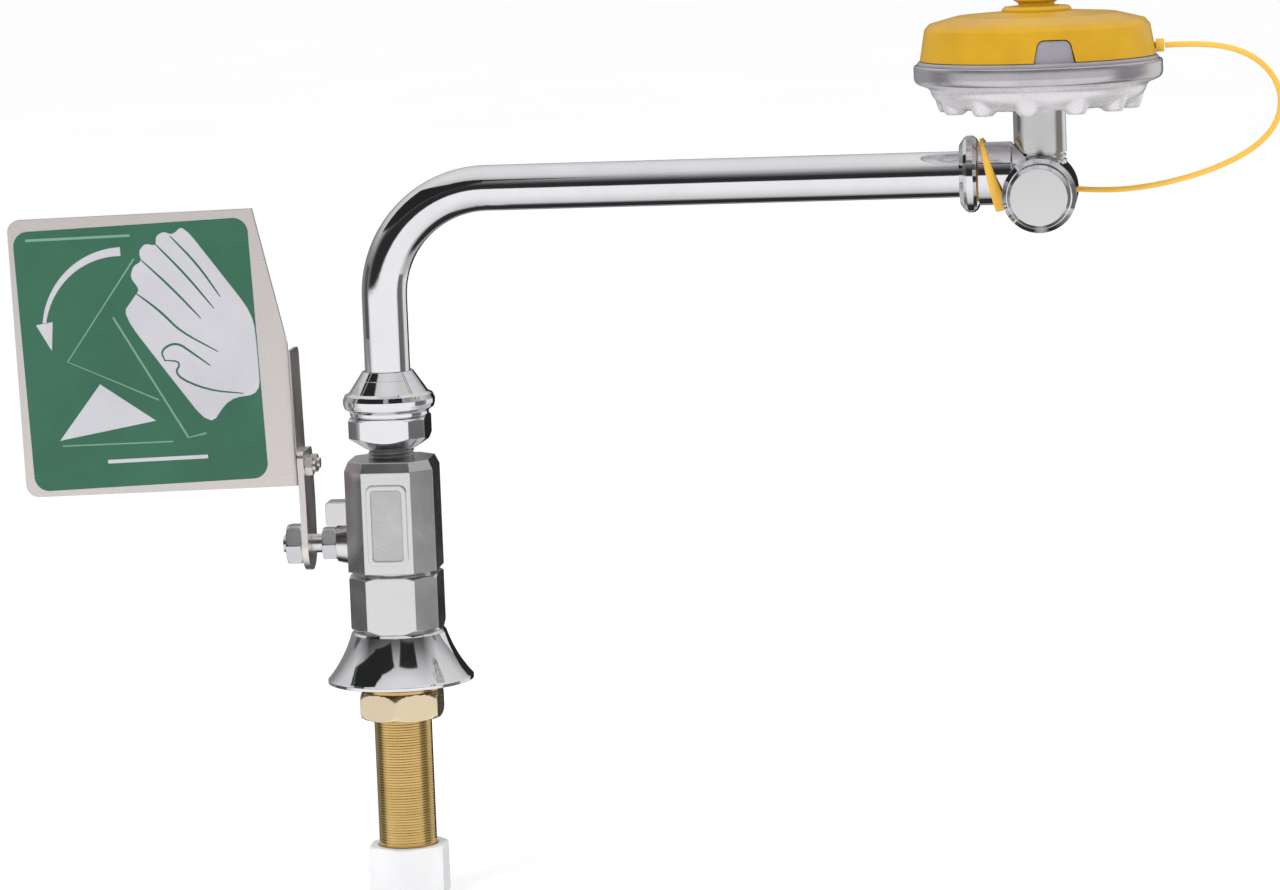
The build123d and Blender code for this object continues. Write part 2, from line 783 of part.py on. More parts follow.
def spout_end_nut():
    """Round flanged nut at the end of the arm."""
    low = end_nut_start
    high = low + end_nut_width
    solid = turned([
        (pipe_r, low), (end_nut_r - 4.0, low), (end_nut_r - 1.2, low + 2.0), (end_nut_r, low + 3.6),
        (end_nut_r, high - 2.4), (end_nut_r - 1.2, high - 0.8), (end_nut_r - 2.6, high),
        (end_nut_thread_r, high), (end_nut_thread_r, adapter_start), (pipe_r, adapter_start),
    ])
    return to_right(solid)


def head_adapter():
    """Adapter between the pipe and the elbow, which the strap's loop hangs on."""
    step = end_nut_start + end_nut_width
    solid = turned([
        (pipe_r, adapter_start), (end_nut_thread_r, adapter_start), (end_nut_thread_r, step),
        (head_adapter_r, step), (head_adapter_r, adapter_end - 0.8), (head_adapter_r - 0.8, adapter_end),
        (inlet_thread_r, adapter_end), (inlet_thread_r, inlet_start),
        (head_adapter_bore_r, inlet_start), (head_adapter_bore_r, arm_end), (pipe_r, arm_end),
    ])
    return to_right(solid)


def elbow_body():
    """Elbow that turns the water up: cross barrel, inlet boss and upright stub."""
    barrel = to_front(turned([
        (0, -elbow_back), (elbow_r - 3.0, -elbow_back), (elbow_r, -elbow_back + 3.0),
        (elbow_r, elbow_front - elbow_bevel), (elbow_r - elbow_bevel, elbow_front), (0, elbow_front),
    ]))
    boss = to_right(rod(elbow_boss_r, adapter_end, adapter_end + elbow_boss_length))
    stub = Pos(head_x, 0, 0) * rod(elbow_stub_r, barrel_z, stub_top)
    solid = barrel + boss + stub
    solid -= to_right(rod(head_adapter_r, adapter_end - elbow_r, adapter_end))
    solid -= Pos(head_x, 0, 0) * rod(nipple_r + screw_gap, stub_top, bowl_z)
    solid += to_right(rod(inlet_thread_r, inlet_start, adapter_end))
    solid -= to_right(rod(head_adapter_bore_r, inlet_start, head_x))
    solid -= Pos(head_x, 0, 0) * rod(nipple_bore_r, barrel_z, stub_top)
    solid -= Pos(head_x, 0, 0) * rod(nipple_thread_r, stub_top - nipple_thread_length, stub_top)
    solid -= to_front(rod(elbow_bore_r, -elbow_back + 5.0, elbow_front))
    return solid - to_front(rod(plug_spigot_r, elbow_front - plug_spigot_length, elbow_front))


def side_plug():
    """Round plug that closes the front of the elbow's barrel."""
    front = elbow_front + plug_thick
    groove = elbow_front - 3.0
    solid = turned([
        (0, elbow_front - plug_spigot_length), (plug_spigot_r, elbow_front - plug_spigot_length),
        (plug_spigot_r, groove - plug_ring_width), (plug_spigot_r - plug_ring_depth, groove - plug_ring_width),
        (plug_spigot_r - plug_ring_depth, groove), (plug_spigot_r, groove), (plug_spigot_r, elbow_front),
        (plug_r, elbow_front), (plug_r, front - plug_bevel), (plug_r - plug_bevel, front), (0, front),
    ])
    return to_front(solid)


def plug_o_ring():
    """Seal in the groove of the side plug."""
    groove = elbow_front - 3.0
    return to_front(ring(plug_spigot_r, plug_spigot_r - plug_ring_depth, groove - plug_ring_width, groove))


def head_nipple():
    """Upright nipple between the elbow and the head, with a stepped foot."""
    thread_low = stub_top - nipple_thread_length
    solid = turned([
        (nipple_bore_r, thread_low), (nipple_thread_r, thread_low), (nipple_thread_r, stub_top),
        (nipple_neck_r, stub_top), (nipple_neck_r, stub_top + nipple_step),
        (nipple_r - 0.2, stub_top + nipple_step), (nipple_r - 0.2, stub_top + 2 * nipple_step),
        (nipple_neck_r, stub_top + 2 * nipple_step), (nipple_neck_r, nipple_body_low),
        (nipple_r, nipple_body_low), (nipple_r, bowl_z), (nipple_thread_r, bowl_z),
        (nipple_thread_r, bowl_z + head_hub_height - 1.0), (nipple_bore_r, bowl_z + head_hub_height - 1.0),
    ])
    return Pos(head_x, 0, 0) * solid


def flow_regulator():
    """Disc with a small hole, seated in the nipple, that sets the flow."""
    low = stub_top + regulator_rise
    return Pos(head_x, 0, 0) * ring(nipple_bore_r, regulator_hole_r, low, low + regulator_thick)


def filter_screen():
    """Mesh disc on top of the flow regulator."""
    low = stub_top + regulator_rise + regulator_thick
    return Pos(head_x, 0, 0) * rod(nipple_bore_r, low, low + screen_thick)


# ---- head ----

def around(radius, count, first=0.0):
    """Places evenly spaced on a circle about Z."""
    return [Rot(0, 0, first + 360.0 * i / count) * Pos(radius, 0, 0) for i in range(count)]


def screw_places():
    """Every second underside boss carries a screw."""
    return around(underside_boss_ring, boss_count // 2, 15.0)


def head_bowl():
    """Lower bowl of the head, with bosses round its underside."""
    z = bowl_z
    step_z = z + bowl_step_rise
    bowl = turned([
        (nipple_thread_r, z), (bowl_floor_r, z + bowl_floor_rise), (bowl_floor_r + 6.5, z + 2.0),
        (bowl_step_r, step_z), (bowl_step_r + 1.0, step_z + 3.8), (bowl_r - 1.7, step_z + 5.7),
        (bowl_r, step_z + 7.7), (bowl_r, z + bowl_rise), (plate_r + 0.2, z + bowl_rise),
        (plate_r + 0.2, ledge_z), (bowl_seat_r, ledge_z), (bowl_seat_r, ledge_z - 1.6),
        (bowl_step_r - 1.6, step_z + 5.4), (bowl_step_r - 3.0, step_z + 1.6),
        (bowl_floor_r + 5.0, z + 2.0 + head_wall), (bowl_floor_r, z + bowl_floor_rise + head_wall),
        (head_hub_r, z + head_wall), (head_hub_r, z + head_hub_height),
        (nipple_thread_r, z + head_hub_height),
    ])
    low = z - underside_boss_drop
    for place in around(underside_boss_ring, boss_count, 15.0):
        bowl += place * rod(underside_boss_r, low, z + 4.4)
    for place in screw_places():
        bowl -= place * rod(screw_head_r + screw_gap, low, low + screw_sink + screw_head_height)
        bowl -= place * rod(screw_r + screw_gap, low, z + bowl_rise)
    return on_head(bowl)


def lug_outline(gap, drop):
    """Front outline of a lug with a gap round it, from drop below its foot."""
    slope = (tower_foot_half - tower_top_half) / tower_height
    foot = tower_foot_half + gap + slope * drop
    top = tower_top_half + gap - slope * gap
    high = tower_height + gap
    outline = Polygon((-foot, -drop), (foot, -drop), (top, high), (-top, high), align=None)
    corners = [v for v in outline.vertices() if v.Y > tower_height / 2]
    return fillet(corners, tower_top_r + gap)


def tower():
    """Upstanding lug that shows through a notch of the dust cover."""
    block = extrude(Plane.XZ * lug_outline(0, 0), tower_depth / 2, both=True)
    return Pos(0, -tower_ring, plate_floor_z - tower_root) * block


def head_plate():
    """Upper plate of the head, with two lugs, two outlet holes and screw posts."""
    plate = turned([
        (0, plate_z), (plate_r, plate_z), (plate_r, plate_top - 0.8), (plate_r - 0.8, plate_top),
        (plate_dish_r, plate_top), (plate_dish_r - 1.0, plate_floor_z), (0, plate_floor_z),
    ])
    plate += tower() + Rot(0, 0, 180) * tower()
    for place in screw_places():
        plate += place * rod(post_r, plate_z - post_length, plate_z)
        plate -= place * rod(screw_r, plate_z - post_length, plate_z - 1.0)
    for place in nozzle_places():
        plate -= place * rod(nozzle_bore_r, plate_z, plate_floor_z)
    return on_head(plate)


def nozzle_places():
    """The two outlets stand either side of the head's centre."""
    return around(nozzle_ring, 2, 90.0)


def outlet_nozzles():
    """Two capped outlets with a ring of spray holes in each face."""
    low = plate_floor_z
    cap = ring(nozzle_r, nozzle_bore_r, low, low + nozzle_height - nozzle_face)
    cap += rod(nozzle_r, low + nozzle_height - nozzle_face, low + nozzle_height)
    cap -= rod(nozzle_hole_r, low, low + nozzle_height)
    for hole in around(nozzle_hole_ring, nozzle_hole_count):
        cap -= hole * rod(nozzle_hole_r, low, low + nozzle_height)
    return Compound([on_head(place * cap).solid() for place in nozzle_places()])


def head_gasket():
    """Seal between the bowl's ledge and the upper plate."""
    return on_head(ring(plate_r, bowl_seat_r + 0.2, ledge_z, plate_z))


def head_screws():
    """Screws from below that hold the bowl and the upper plate together."""
    low = bowl_z - underside_boss_drop + screw_sink
    screw = rod(screw_head_r, low, low + screw_head_height) + rod(screw_r, low, plate_z - 2.0)
    return Compound([on_head(place * screw).solid() for place in screw_places()])


# ---- dust cover ----

def dust_cover():
    """Lift-off cover with a shallow crown and a notch over each lug."""
    z = cover_z
    wall = cover_wall
    shell = turned([
        (cover_r, z), (cover_shoulder_r, z + cover_side), (cover_bevel_r, z + cover_bevel_rise),
        (cover_top_r, z + cover_top_rise), (cover_crown_r, z + cover_crown_rise),
        (0, z + cover_crown_rise), (0, z + cover_crown_rise - wall),
        (cover_crown_r, z + cover_crown_rise - wall), (cover_top_r - 0.5, z + cover_top_rise - wall),
        (cover_bevel_r - 1.2, z + cover_bevel_rise - wall), (cover_shoulder_r - wall, z + cover_side - 0.8),
        (cover_r - wall, z),
    ])
    notch = Pos(0, plate_floor_z - tower_root) * lug_outline(notch_gap, 1.0)
    cut = extrude(Plane.XZ.offset(tower_ring - 10.0) * notch, 30.0)
    shell -= cut
    shell -= Rot(0, 0, 180) * cut
    shell -= rod(knob_pin_r, z, z + cover_crown_rise)
    return on_head(shell) - anchor_hole()


def anchor_face():
    """Distance of the strap anchor's face from the column axis."""
    slope = (cover_r - cover_shoulder_r) / cover_side
    return head_x + cover_r - slope * (anchor_rise - anchor_head_r)


def at_anchor(shape):
    """Turns a shape built up Z so that it points along +X at the strap anchor's height."""
    return Pos(0, 0, cover_z + anchor_rise) * Rot(0, 90, 0) * shape


def anchor_hole():
    """Hole through the cover's side for the strap anchor."""
    face = anchor_face()
    return at_anchor(rod(anchor_pin_r, face - 3 * cover_wall, face + 1.0))


def cover_knob():
    """Knob on top of the cover, with a pin through the crown."""
    z = knob_z
    solid = turned([
        (0, z - cover_wall), (knob_pin_r, z - cover_wall), (knob_pin_r, z), (knob_base_r, z),
        (knob_base_r, z + 1.0), (knob_base_r - 1.2, z + knob_base_height),
        (knob_waist_r, z + knob_base_height + 0.4), (knob_waist_r, z + knob_base_height + 1.6),
        (knob_r, z + knob_base_height + 2.8), (knob_r, z + knob_height - 1.4),
        (knob_r - 1.4, z + knob_height), (0, z + knob_height),
    ])
    return Pos(head_x, 0, 0) * solid


def strap_anchor():
    """Push-in button in the cover's side that holds the strap's end."""
    face = anchor_face()
    inner = face - cover_wall - 1.0
    solid = rod(anchor_pin_r, inner, face) + rod(anchor_head_r, face, face + anchor_head_length)
    solid += rod(anchor_head_r - 0.6, inner - anchor_inner_length, inner)
    return at_anchor(solid)


# ---- strap ----

def strap_loop():
    """Flat band of the strap that hangs round the head adapter."""
    band = ring(loop_in_r + loop_thick, loop_in_r, -loop_width / 2, loop_width / 2)
    sag = loop_slack - 1.0
    return Pos(arm_end + loop_past, 0, arm_height - sag) * Rot(0, 90 - loop_tilt, 0) * band


def strap_radii():
    """Radius of each arc of the strap's route, from the shorter of the runs beside it."""
    radii = []
    corners = [Vector(*point) for point in strap_points]
    for before, corner, after in zip(corners, corners[1:], corners[2:]):
        first = corner - before
        second = after - corner
        half_turn = math.radians(first.get_angle(second)) / 2
        radii.append(strap_arc_share * min(first.length, second.length) / math.tan(half_turn))
    return radii


def strap():
    """Round strap from the cover's anchor to the loop on the head adapter."""
    radii = strap_radii()
    route = FilletPolyline(*strap_points, radius=radii)
    start = Plane(origin=route @ 0, z_dir=route % 0)
    solid = sweep(start * Circle(strap_r), path=route)
    print("strap radii", [round(radius, 1) for radius in radii])
    print("strap length", round(route.length, 1), "volume", round(solid.volume, 1))
    print("section times length", round(math.pi * strap_r ** 2 * route.length, 1))
    return solid


def upper_seat():
    """Seat above the ball."""
    return seat(1)


def lower_seat():
    """Seat below the ball."""
    return seat(-1)


PIECES = [
    shank, escutcheon, deck_gasket, clamp_washer, lock_nut, supply_nut, supply_washer,
    inlet_strainer, valve_end_piece, valve_body, upper_seat, lower_seat, body_seal,
    stem_packing, gland_nut, ball, stem, thrust_washer, lever_bar, flag_plate, flag_label,
    flag_screws, flag_nuts, lever_lock_washer, handle_nut, outlet_adapter, spout_o_rings,
    swivel_washer, spout_nut, spout_tube, spout_collar, spout_end_nut, head_adapter,
    elbow_body, side_plug, plug_o_ring, head_nipple, flow_regulator, filter_screen,
    head_bowl, head_plate, outlet_nozzles, head_gasket, head_screws, dust_cover,
    cover_knob, strap_anchor, strap_loop, strap,
]

os.makedirs("parts", exist_ok=True)
for piece in PIECES:
    export_step(piece(), "parts/" + piece.__name__ + ".step")
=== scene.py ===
"""Studio scene of a deck-mounted eyewash station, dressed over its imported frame."""

import json
import math

import bmesh
import bpy
from mathutils import Matrix, Vector, noise


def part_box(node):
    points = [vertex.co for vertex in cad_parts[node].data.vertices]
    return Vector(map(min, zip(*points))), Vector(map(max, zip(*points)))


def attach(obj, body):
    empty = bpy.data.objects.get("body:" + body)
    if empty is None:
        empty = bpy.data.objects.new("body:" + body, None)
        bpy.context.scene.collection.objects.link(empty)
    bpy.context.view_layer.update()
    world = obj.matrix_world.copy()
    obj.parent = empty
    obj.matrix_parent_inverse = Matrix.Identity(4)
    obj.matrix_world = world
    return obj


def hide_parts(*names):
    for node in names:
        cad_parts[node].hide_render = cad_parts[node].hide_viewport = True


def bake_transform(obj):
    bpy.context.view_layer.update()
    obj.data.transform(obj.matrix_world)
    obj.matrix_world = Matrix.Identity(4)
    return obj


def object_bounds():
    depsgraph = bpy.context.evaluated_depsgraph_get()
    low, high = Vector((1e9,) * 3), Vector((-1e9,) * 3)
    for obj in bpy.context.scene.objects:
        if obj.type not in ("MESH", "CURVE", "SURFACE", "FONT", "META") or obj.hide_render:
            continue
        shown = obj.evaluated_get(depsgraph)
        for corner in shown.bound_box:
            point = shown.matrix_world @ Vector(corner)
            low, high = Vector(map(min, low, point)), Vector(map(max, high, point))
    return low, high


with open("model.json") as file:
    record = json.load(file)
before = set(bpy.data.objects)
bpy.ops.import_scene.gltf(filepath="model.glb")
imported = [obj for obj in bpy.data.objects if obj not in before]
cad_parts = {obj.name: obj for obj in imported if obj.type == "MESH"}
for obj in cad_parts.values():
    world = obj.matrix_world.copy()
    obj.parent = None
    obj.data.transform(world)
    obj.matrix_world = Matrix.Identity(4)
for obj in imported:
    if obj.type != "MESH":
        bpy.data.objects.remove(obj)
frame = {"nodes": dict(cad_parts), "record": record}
cad_low, cad_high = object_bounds()

MM = 0.001

# ---- sizes that the dressing shares with the frame, in millimetres ----


def node_box(name):
    """Lowest and highest corner of a frame node."""
    low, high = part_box(name)
    return low / MM, high / MM


def node_middle(name):
    """Middle of a frame node's box."""
    low, high = node_box(name)
    return (low + high) / 2


stem_z = node_middle("gland_nut").z
head_x = node_middle("head_bowl").x
head_turn = math.radians(10.0)
label_turn = math.radians(2.25)
label_face_y = node_box("flag_label")[0].y
strap_points = (
    (366.8, 0.0, 288.7),
    (384.6, 0.3, 289.2),
    (403.4, 0.4, 284.9),
    (415.6, 0.2, 274.8),
    (420.0, 0.0, 261.4),
    (415.2, 0.2, 247.6),
    (400.6, 1.0, 236.2),
    (377.2, 2.6, 227.4),
    (351.0, 6.4, 222.3),
    (328.2, 14.2, 221.9),
    (308.4, 18.0, 224.6),
    (288.7, 16.9, 230.6),
)
strap_radius = 1.3


def new_object(name, data):
    """A new object at the origin, linked to the scene."""
    obj = bpy.data.objects.new(name, data)
    bpy.context.scene.collection.objects.link(obj)
    return obj


# ---- camera ----

def place_camera():
    """A long lens, a little to the right of the column and a little above it, slightly rolled."""
    azimuth = math.radians(6.55)
    elevation = math.radians(7.56)
    roll = math.radians(2.16)
    distance = 2.3416
    aim = Vector((118.0, 0.0, 109.3)) * MM
    look = Vector((
        -math.sin(azimuth) * math.cos(elevation),
        math.cos(azimuth) * math.cos(elevation),
        -math.sin(elevation),
    ))
    right = Vector((math.cos(azimuth), math.sin(azimuth), 0.0))
    up = right.cross(look)
    rolled_right = math.cos(roll) * right - math.sin(roll) * up
    rolled_up = math.sin(roll) * right + math.cos(roll) * up
    data = bpy.data.cameras.new("studio_camera")
    data.lens = 140.6
    data.sensor_width = 36.0
    data.clip_end = 100.0
    camera = new_object("studio_camera", data)
    place = Matrix((rolled_right, rolled_up, -look)).transposed().to_4x4()
    place.translation = aim - distance * look
    camera.matrix_world = place
    bpy.context.scene.camera = camera


# ---- node helpers ----

def node(tree, kind, settings=None, inputs=None):
    """One node; an input given as a socket is linked, anything else is its value."""
    made = tree.nodes.new(kind)
    for name, value in (settings or {}).items():
        setattr(made, name, value)
    for name, value in (inputs or {}).items():
        if isinstance(value, bpy.types.NodeSocket):
            tree.links.new(value, made.inputs[name])
        else:
            made.inputs[name].default_value = value
    return made


def calc(tree, operation, first, second=0.0, clamp=False):
    """One step of arithmetic."""
    kind = "ShaderNodeMath"
    settings = {"operation": operation, "use_clamp": clamp}
    return node(tree, kind, settings, {0: first, 1: second}).outputs[0]


def weighted(tree, *terms):
    """Sum of sockets, each times its share, held between 0 and 1."""
    value, share = terms[0]
    total = calc(tree, "MULTIPLY", value, share)
    for value, share in terms[1:]:
        total = calc(tree, "ADD", total, calc(tree, "MULTIPLY", value, share), clamp=True)
    return total


def radius_of(tree, parts):
    """Distance from the Z axis, from a separated position."""
    across = calc(tree, "MULTIPLY", parts[0], parts[0])
    deep = calc(tree, "MULTIPLY", parts[1], parts[1])
    return calc(tree, "SQRT", calc(tree, "ADD", across, deep))


def blend_colour(tree, factor, first, second):
    """Mix of two colours, each a socket or a plain colour."""
    made = node(tree, "ShaderNodeMix", {"data_type": "RGBA"}, {0: factor})
    for place, value in ((6, first), (7, second)):
        if isinstance(value, bpy.types.NodeSocket):
            tree.links.new(value, made.inputs[place])
        else:
            made.inputs[place].default_value = (*value, 1.0)
    return made.outputs[2]


def span(tree, value, low, high, to_low, to_high):
    """A value's range mapped to another, held at both ends."""
    inputs = {0: value, 1: low, 2: high, 3: to_low, 4: to_high}
    return node(tree, "ShaderNodeMapRange", {"clamp": True}, inputs).outputs[0]


def group_of(name, inputs, outputs):
    """An empty shader group with its sockets; returns the tree, its inputs and its output node."""
    tree = bpy.data.node_groups.new(name, "ShaderNodeTree")
    kinds = {"value": "NodeSocketFloat", "vector": "NodeSocketVector"}
    for label, kind, value in inputs:
        socket = tree.interface.new_socket(label, in_out="INPUT", socket_type=kinds[kind])
        socket.default_value = value
    for label, kind in outputs:
        tree.interface.new_socket(label, in_out="OUTPUT", socket_type=kinds[kind])
    given = tree.nodes.new("NodeGroupInput").outputs
    result = tree.nodes.new("NodeGroupOutput")
    return tree, given, result


def placed(tree, group, **values):
    """A shared group set in a material with this finish's own values."""
    made = tree.nodes.new("ShaderNodeGroup")
    made.node_tree = group
    for name, value in values.items():
        made.inputs[name.replace("_", " ")].default_value = value
    return made.outputs


# ---- shared effects ----

def make_edge_effect():
    """Softened edges: a rounded normal, and a mask of where the edges are."""
    tree, given, result = group_of(
        "soft_edges",
        (("Radius", "value", 0.0004), ("Gain", "value", 2.0)),
        (("Mask", "value"), ("Normal", "vector")),
    )
    rounded = node(tree, "ShaderNodeBevel", {"samples": 4}, {"Radius": given["Radius"]}).outputs[0]
    plain = tree.nodes.new("ShaderNodeNewGeometry").outputs["Normal"]
    dot = node(tree, "ShaderNodeVectorMath", {"operation": "DOT_PRODUCT"}, {0: rounded, 1: plain})
    away = calc(tree, "SUBTRACT", 1.0, dot.outputs["Value"])
    mask = calc(tree, "MULTIPLY", away, given["Gain"], clamp=True)
    tree.links.new(mask, result.inputs["Mask"])
    tree.links.new(rounded, result.inputs["Normal"])
    return tree


def make_mottle_effect():
    """Soft clouds with fine grain over them, both from 0 to 1."""
    tree, given, result = group_of(
        "cloudy_grain",
        (("Cloud Scale", "value", 60.0), ("Grain Scale", "value", 1500.0)),
        (("Clouds", "value"), ("Grain", "value")),
    )
    place = tree.nodes.new("ShaderNodeTexCoord").outputs["Object"]
    clouds = node(
        tree, "ShaderNodeTexNoise", None,
        {"Vector": place, "Scale": given["Cloud Scale"], "Detail": 3.0, "Roughness": 0.55},
    ).outputs[0]
    grain = node(
        tree, "ShaderNodeTexNoise", None,
        {"Vector": place, "Scale": given["Grain Scale"], "Detail": 2.0, "Roughness": 0.6},
    ).outputs[0]
    tree.links.new(span(tree, clouds, 0.32, 0.68, 0.0, 1.0), result.inputs["Clouds"])
    tree.links.new(span(tree, grain, 0.3, 0.7, 0.0, 1.0), result.inputs["Grain"])
    return tree


def make_brush_effect():
    """Fine straight lines, drawn out along the axis with the smallest stretch."""
    tree, given, result = group_of(
        "brushed_lines",
        (("Stretch", "vector", (30.0, 3000.0, 3000.0)),),
        (("Lines", "value"),),
    )
    place = tree.nodes.new("ShaderNodeTexCoord").outputs["Object"]
    drawn = node(tree, "ShaderNodeMapping", None, {"Vector": place, "Scale": given["Stretch"]})
    lines = node(
        tree, "ShaderNodeTexNoise", None,
        {"Vector": drawn.outputs[0], "Scale": 1.0, "Detail": 2.0, "Roughness": 0.65},
    ).outputs[0]
    tree.links.new(span(tree, lines, 0.3, 0.7, 0.0, 1.0), result.inputs["Lines"])
    return tree


def make_lathe_effect():
    """Fine rings left by turning about an axis: Centre is on it, and Turn lays it along Z."""
    tree, given, result = group_of(
        "lathe_rings",
        (("Centre", "vector", (0.0, 0.0, 0.0)), ("Turn", "vector", (0.0, 0.0, 0.0)),
         ("Fineness", "value", 2500.0)),
        (("Rings", "value"),),
    )
    place = tree.nodes.new("ShaderNodeTexCoord").outputs["Object"]
    moved = node(
        tree, "ShaderNodeVectorMath", {"operation": "SUBTRACT"}, {0: place, 1: given["Centre"]},
    )
    upright = node(
        tree, "ShaderNodeMapping", None,
        {"Vector": moved.outputs[0], "Rotation": given["Turn"]},
    )
    parts = node(tree, "ShaderNodeSeparateXYZ", None, {0: upright.outputs[0]}).outputs
    radius = radius_of(tree, parts)
    pair = node(tree, "ShaderNodeCombineXYZ", None, {0: radius, 1: parts[2]}).outputs[0]
    rings = node(
        tree, "ShaderNodeTexNoise", {"noise_dimensions": "2D"},
        {"Vector": pair, "Scale": given["Fineness"], "Detail": 1.0},
    ).outputs[0]
    tree.links.new(span(tree, rings, 0.3, 0.7, 0.0, 1.0), result.inputs["Rings"])
    return tree


def make_spot_effect():
    """Scattered small spots left by dried drops; Size is a share of the gap between them."""
    tree, given, result = group_of(
        "dried_spots",
        (("Scale", "value", 140.0), ("Size", "value", 0.16)),
        (("Spots", "value"),),
    )
    place = tree.nodes.new("ShaderNodeTexCoord").outputs["Object"]
    cells = node(tree, "ShaderNodeTexVoronoi", None, {"Vector": place, "Scale": given["Scale"]})
    patches = node(tree, "ShaderNodeTexNoise", None, {"Vector": place, "Scale": 55.0, "Detail": 2.0})
    size = calc(tree, "MULTIPLY", given["Size"], patches.outputs[0])
    inside = calc(tree, "LESS_THAN", cells.outputs["Distance"], size)
    keep = calc(tree, "GREATER_THAN", patches.outputs[0], 0.5)
    tree.links.new(calc(tree, "MULTIPLY", inside, keep), result.inputs["Spots"])
    return tree


soft_edges = make_edge_effect()
cloudy_grain = make_mottle_effect()
brushed_lines = make_brush_effect()
lathe_rings = make_lathe_effect()
dried_spots = make_spot_effect()


# ---- finishes ----

def finish_base(name):
    """A new material's tree and its shader."""
    material = bpy.data.materials.new(name)
    material.use_nodes = True
    tree = material.node_tree
    return material, tree, tree.nodes["Principled BSDF"]


def bumped(tree, height, distance, normal):
    """Small relief over a given normal."""
    inputs = {"Strength": 1.0, "Distance": distance, "Height": height, "Normal": normal}
    return node(tree, "ShaderNodeBump", None, inputs).outputs[0]


def plated_metal(
    name, light, dark, rough, edge_radius=0.0004, lines=None, relief=0.000004, metal=1.0,
):
    """Metal with a plated or polished skin; rough is its lowest and highest roughness."""
    material, tree, shader = finish_base(name)
    edges = placed(tree, soft_edges, Radius=edge_radius, Gain=3.0)
    mottle = placed(tree, cloudy_grain, Cloud_Scale=45.0, Grain_Scale=1800.0)
    spots = placed(tree, dried_spots, Scale=150.0, Size=0.09)
    if lines is None:
        texture = mottle["Grain"]
    elif "Stretch" in lines:
        texture = placed(tree, brushed_lines, **lines)["Lines"]
    else:
        texture = placed(tree, lathe_rings, **lines)["Rings"]
    tone = weighted(tree, (mottle["Clouds"], 0.6), (texture, 0.3), (edges["Mask"], 0.3))
    wear = weighted(tree, (mottle["Clouds"], 0.45), (texture, 0.4), (spots["Spots"], 0.1))
    tree.links.new(blend_colour(tree, tone, dark, light), shader.inputs["Base Color"])
    tree.links.new(span(tree, wear, 0.0, 1.0, *rough), shader.inputs["Roughness"])
    tree.links.new(bumped(tree, texture, relief, edges["Normal"]), shader.inputs["Normal"])
    shader.inputs["Metallic"].default_value = metal
    return material


def moulded_plastic(name, light, dark, rough, relief=0.00002, glow=0.0, coat=0.0):
    """Moulded plastic or rubber with a faint mould texture; glow is its subsurface share."""
    material, tree, shader = finish_base(name)
    edges = placed(tree, soft_edges, Radius=0.0005, Gain=2.5)
    mottle = placed(tree, cloudy_grain, Cloud_Scale=38.0, Grain_Scale=1300.0)
    tone = weighted(tree, (mottle["Clouds"], 0.7), (edges["Mask"], 0.35))
    wear = weighted(tree, (mottle["Clouds"], 0.5), (mottle["Grain"], 0.35))
    tree.links.new(blend_colour(tree, tone, dark, light), shader.inputs["Base Color"])
    tree.links.new(span(tree, wear, 0.0, 1.0, *rough), shader.inputs["Roughness"])
    tree.links.new(bumped(tree, mottle["Grain"], relief, edges["Normal"]), shader.inputs["Normal"])
    shader.inputs["Subsurface Weight"].default_value = glow
    shader.inputs["Subsurface Scale"].default_value = 0.002
    shader.inputs["Coat Weight"].default_value = coat
    shader.inputs["Coat Roughness"].default_value = 0.15
    return material


upright_rings = {"Centre": (0.0, 0.0, 0.0), "Turn": (0.0, 0.0, 0.0), "Fineness": 2600.0}
head_rings = {"Centre": (head_x * MM, 0.0, 0.0), "Turn": (0.0, 0.0, 0.0), "Fineness": 2200.0}

chrome = plated_metal(
    "polished_chrome", (0.86, 0.86, 0.885), (0.78, 0.78, 0.81), (0.03, 0.11), relief=0.0000012)
chrome_turned = plated_metal(
    "turned_chrome", (0.84, 0.84, 0.87), (0.7, 0.7, 0.74), (0.06, 0.2), lines=upright_rings,
    relief=0.000003)
cast_plate = plated_metal(
    "plated_casting", (0.86, 0.85, 0.86), (0.72, 0.71, 0.72), (0.14, 0.3), edge_radius=0.0007,
    relief=0.000008)
plug_face = plated_metal(
    "turned_plug_face", (0.9, 0.9, 0.915), (0.78, 0.78, 0.795), (0.13, 0.26), relief=0.000005)
neck_plate = plated_metal(
    "dull_neck_plate", (0.52, 0.51, 0.52), (0.3, 0.29, 0.3), (0.2, 0.4), relief=0.00001)
pad_cast = plated_metal(
    "rough_pad", (0.76, 0.75, 0.75), (0.52, 0.51, 0.51), (0.26, 0.45), relief=0.00004, metal=0.75)
shank_brass = plated_metal(
    "threaded_brass", (0.82, 0.57, 0.225), (0.63, 0.415, 0.145), (0.14, 0.27), lines=upright_rings,
    relief=0.000006)
nut_brass = plated_metal(
    "machined_brass", (0.93, 0.81, 0.6), (0.8, 0.66, 0.44), (0.18, 0.36), lines=upright_rings,
    relief=0.000006)
stainless = plated_metal(
    "brushed_stainless", (0.9, 0.85, 0.825), (0.79, 0.74, 0.715), (0.24, 0.38),
    lines={"Stretch": (25.0, 2600.0, 2600.0)}, relief=0.000003, metal=0.95)
mesh_steel = plated_metal("woven_steel", (0.6, 0.6, 0.6), (0.35, 0.35, 0.35), (0.3, 0.5))
head_metal = plated_metal(
    "satin_head_plate", (0.68, 0.66, 0.69), (0.52, 0.505, 0.535), (0.18, 0.33), lines=head_rings,
    relief=0.000003, metal=0.8)
# Paler copy of the head finish for the bowl's underside: a painted reflection of the white floor
# below it
head_underside_painted_reflection = plated_metal(
    "head_underside_painted_floor_reflection", (0.79, 0.77, 0.785), (0.67, 0.65, 0.665), (0.22, 0.36), relief=0.000006,
    metal=0.4)
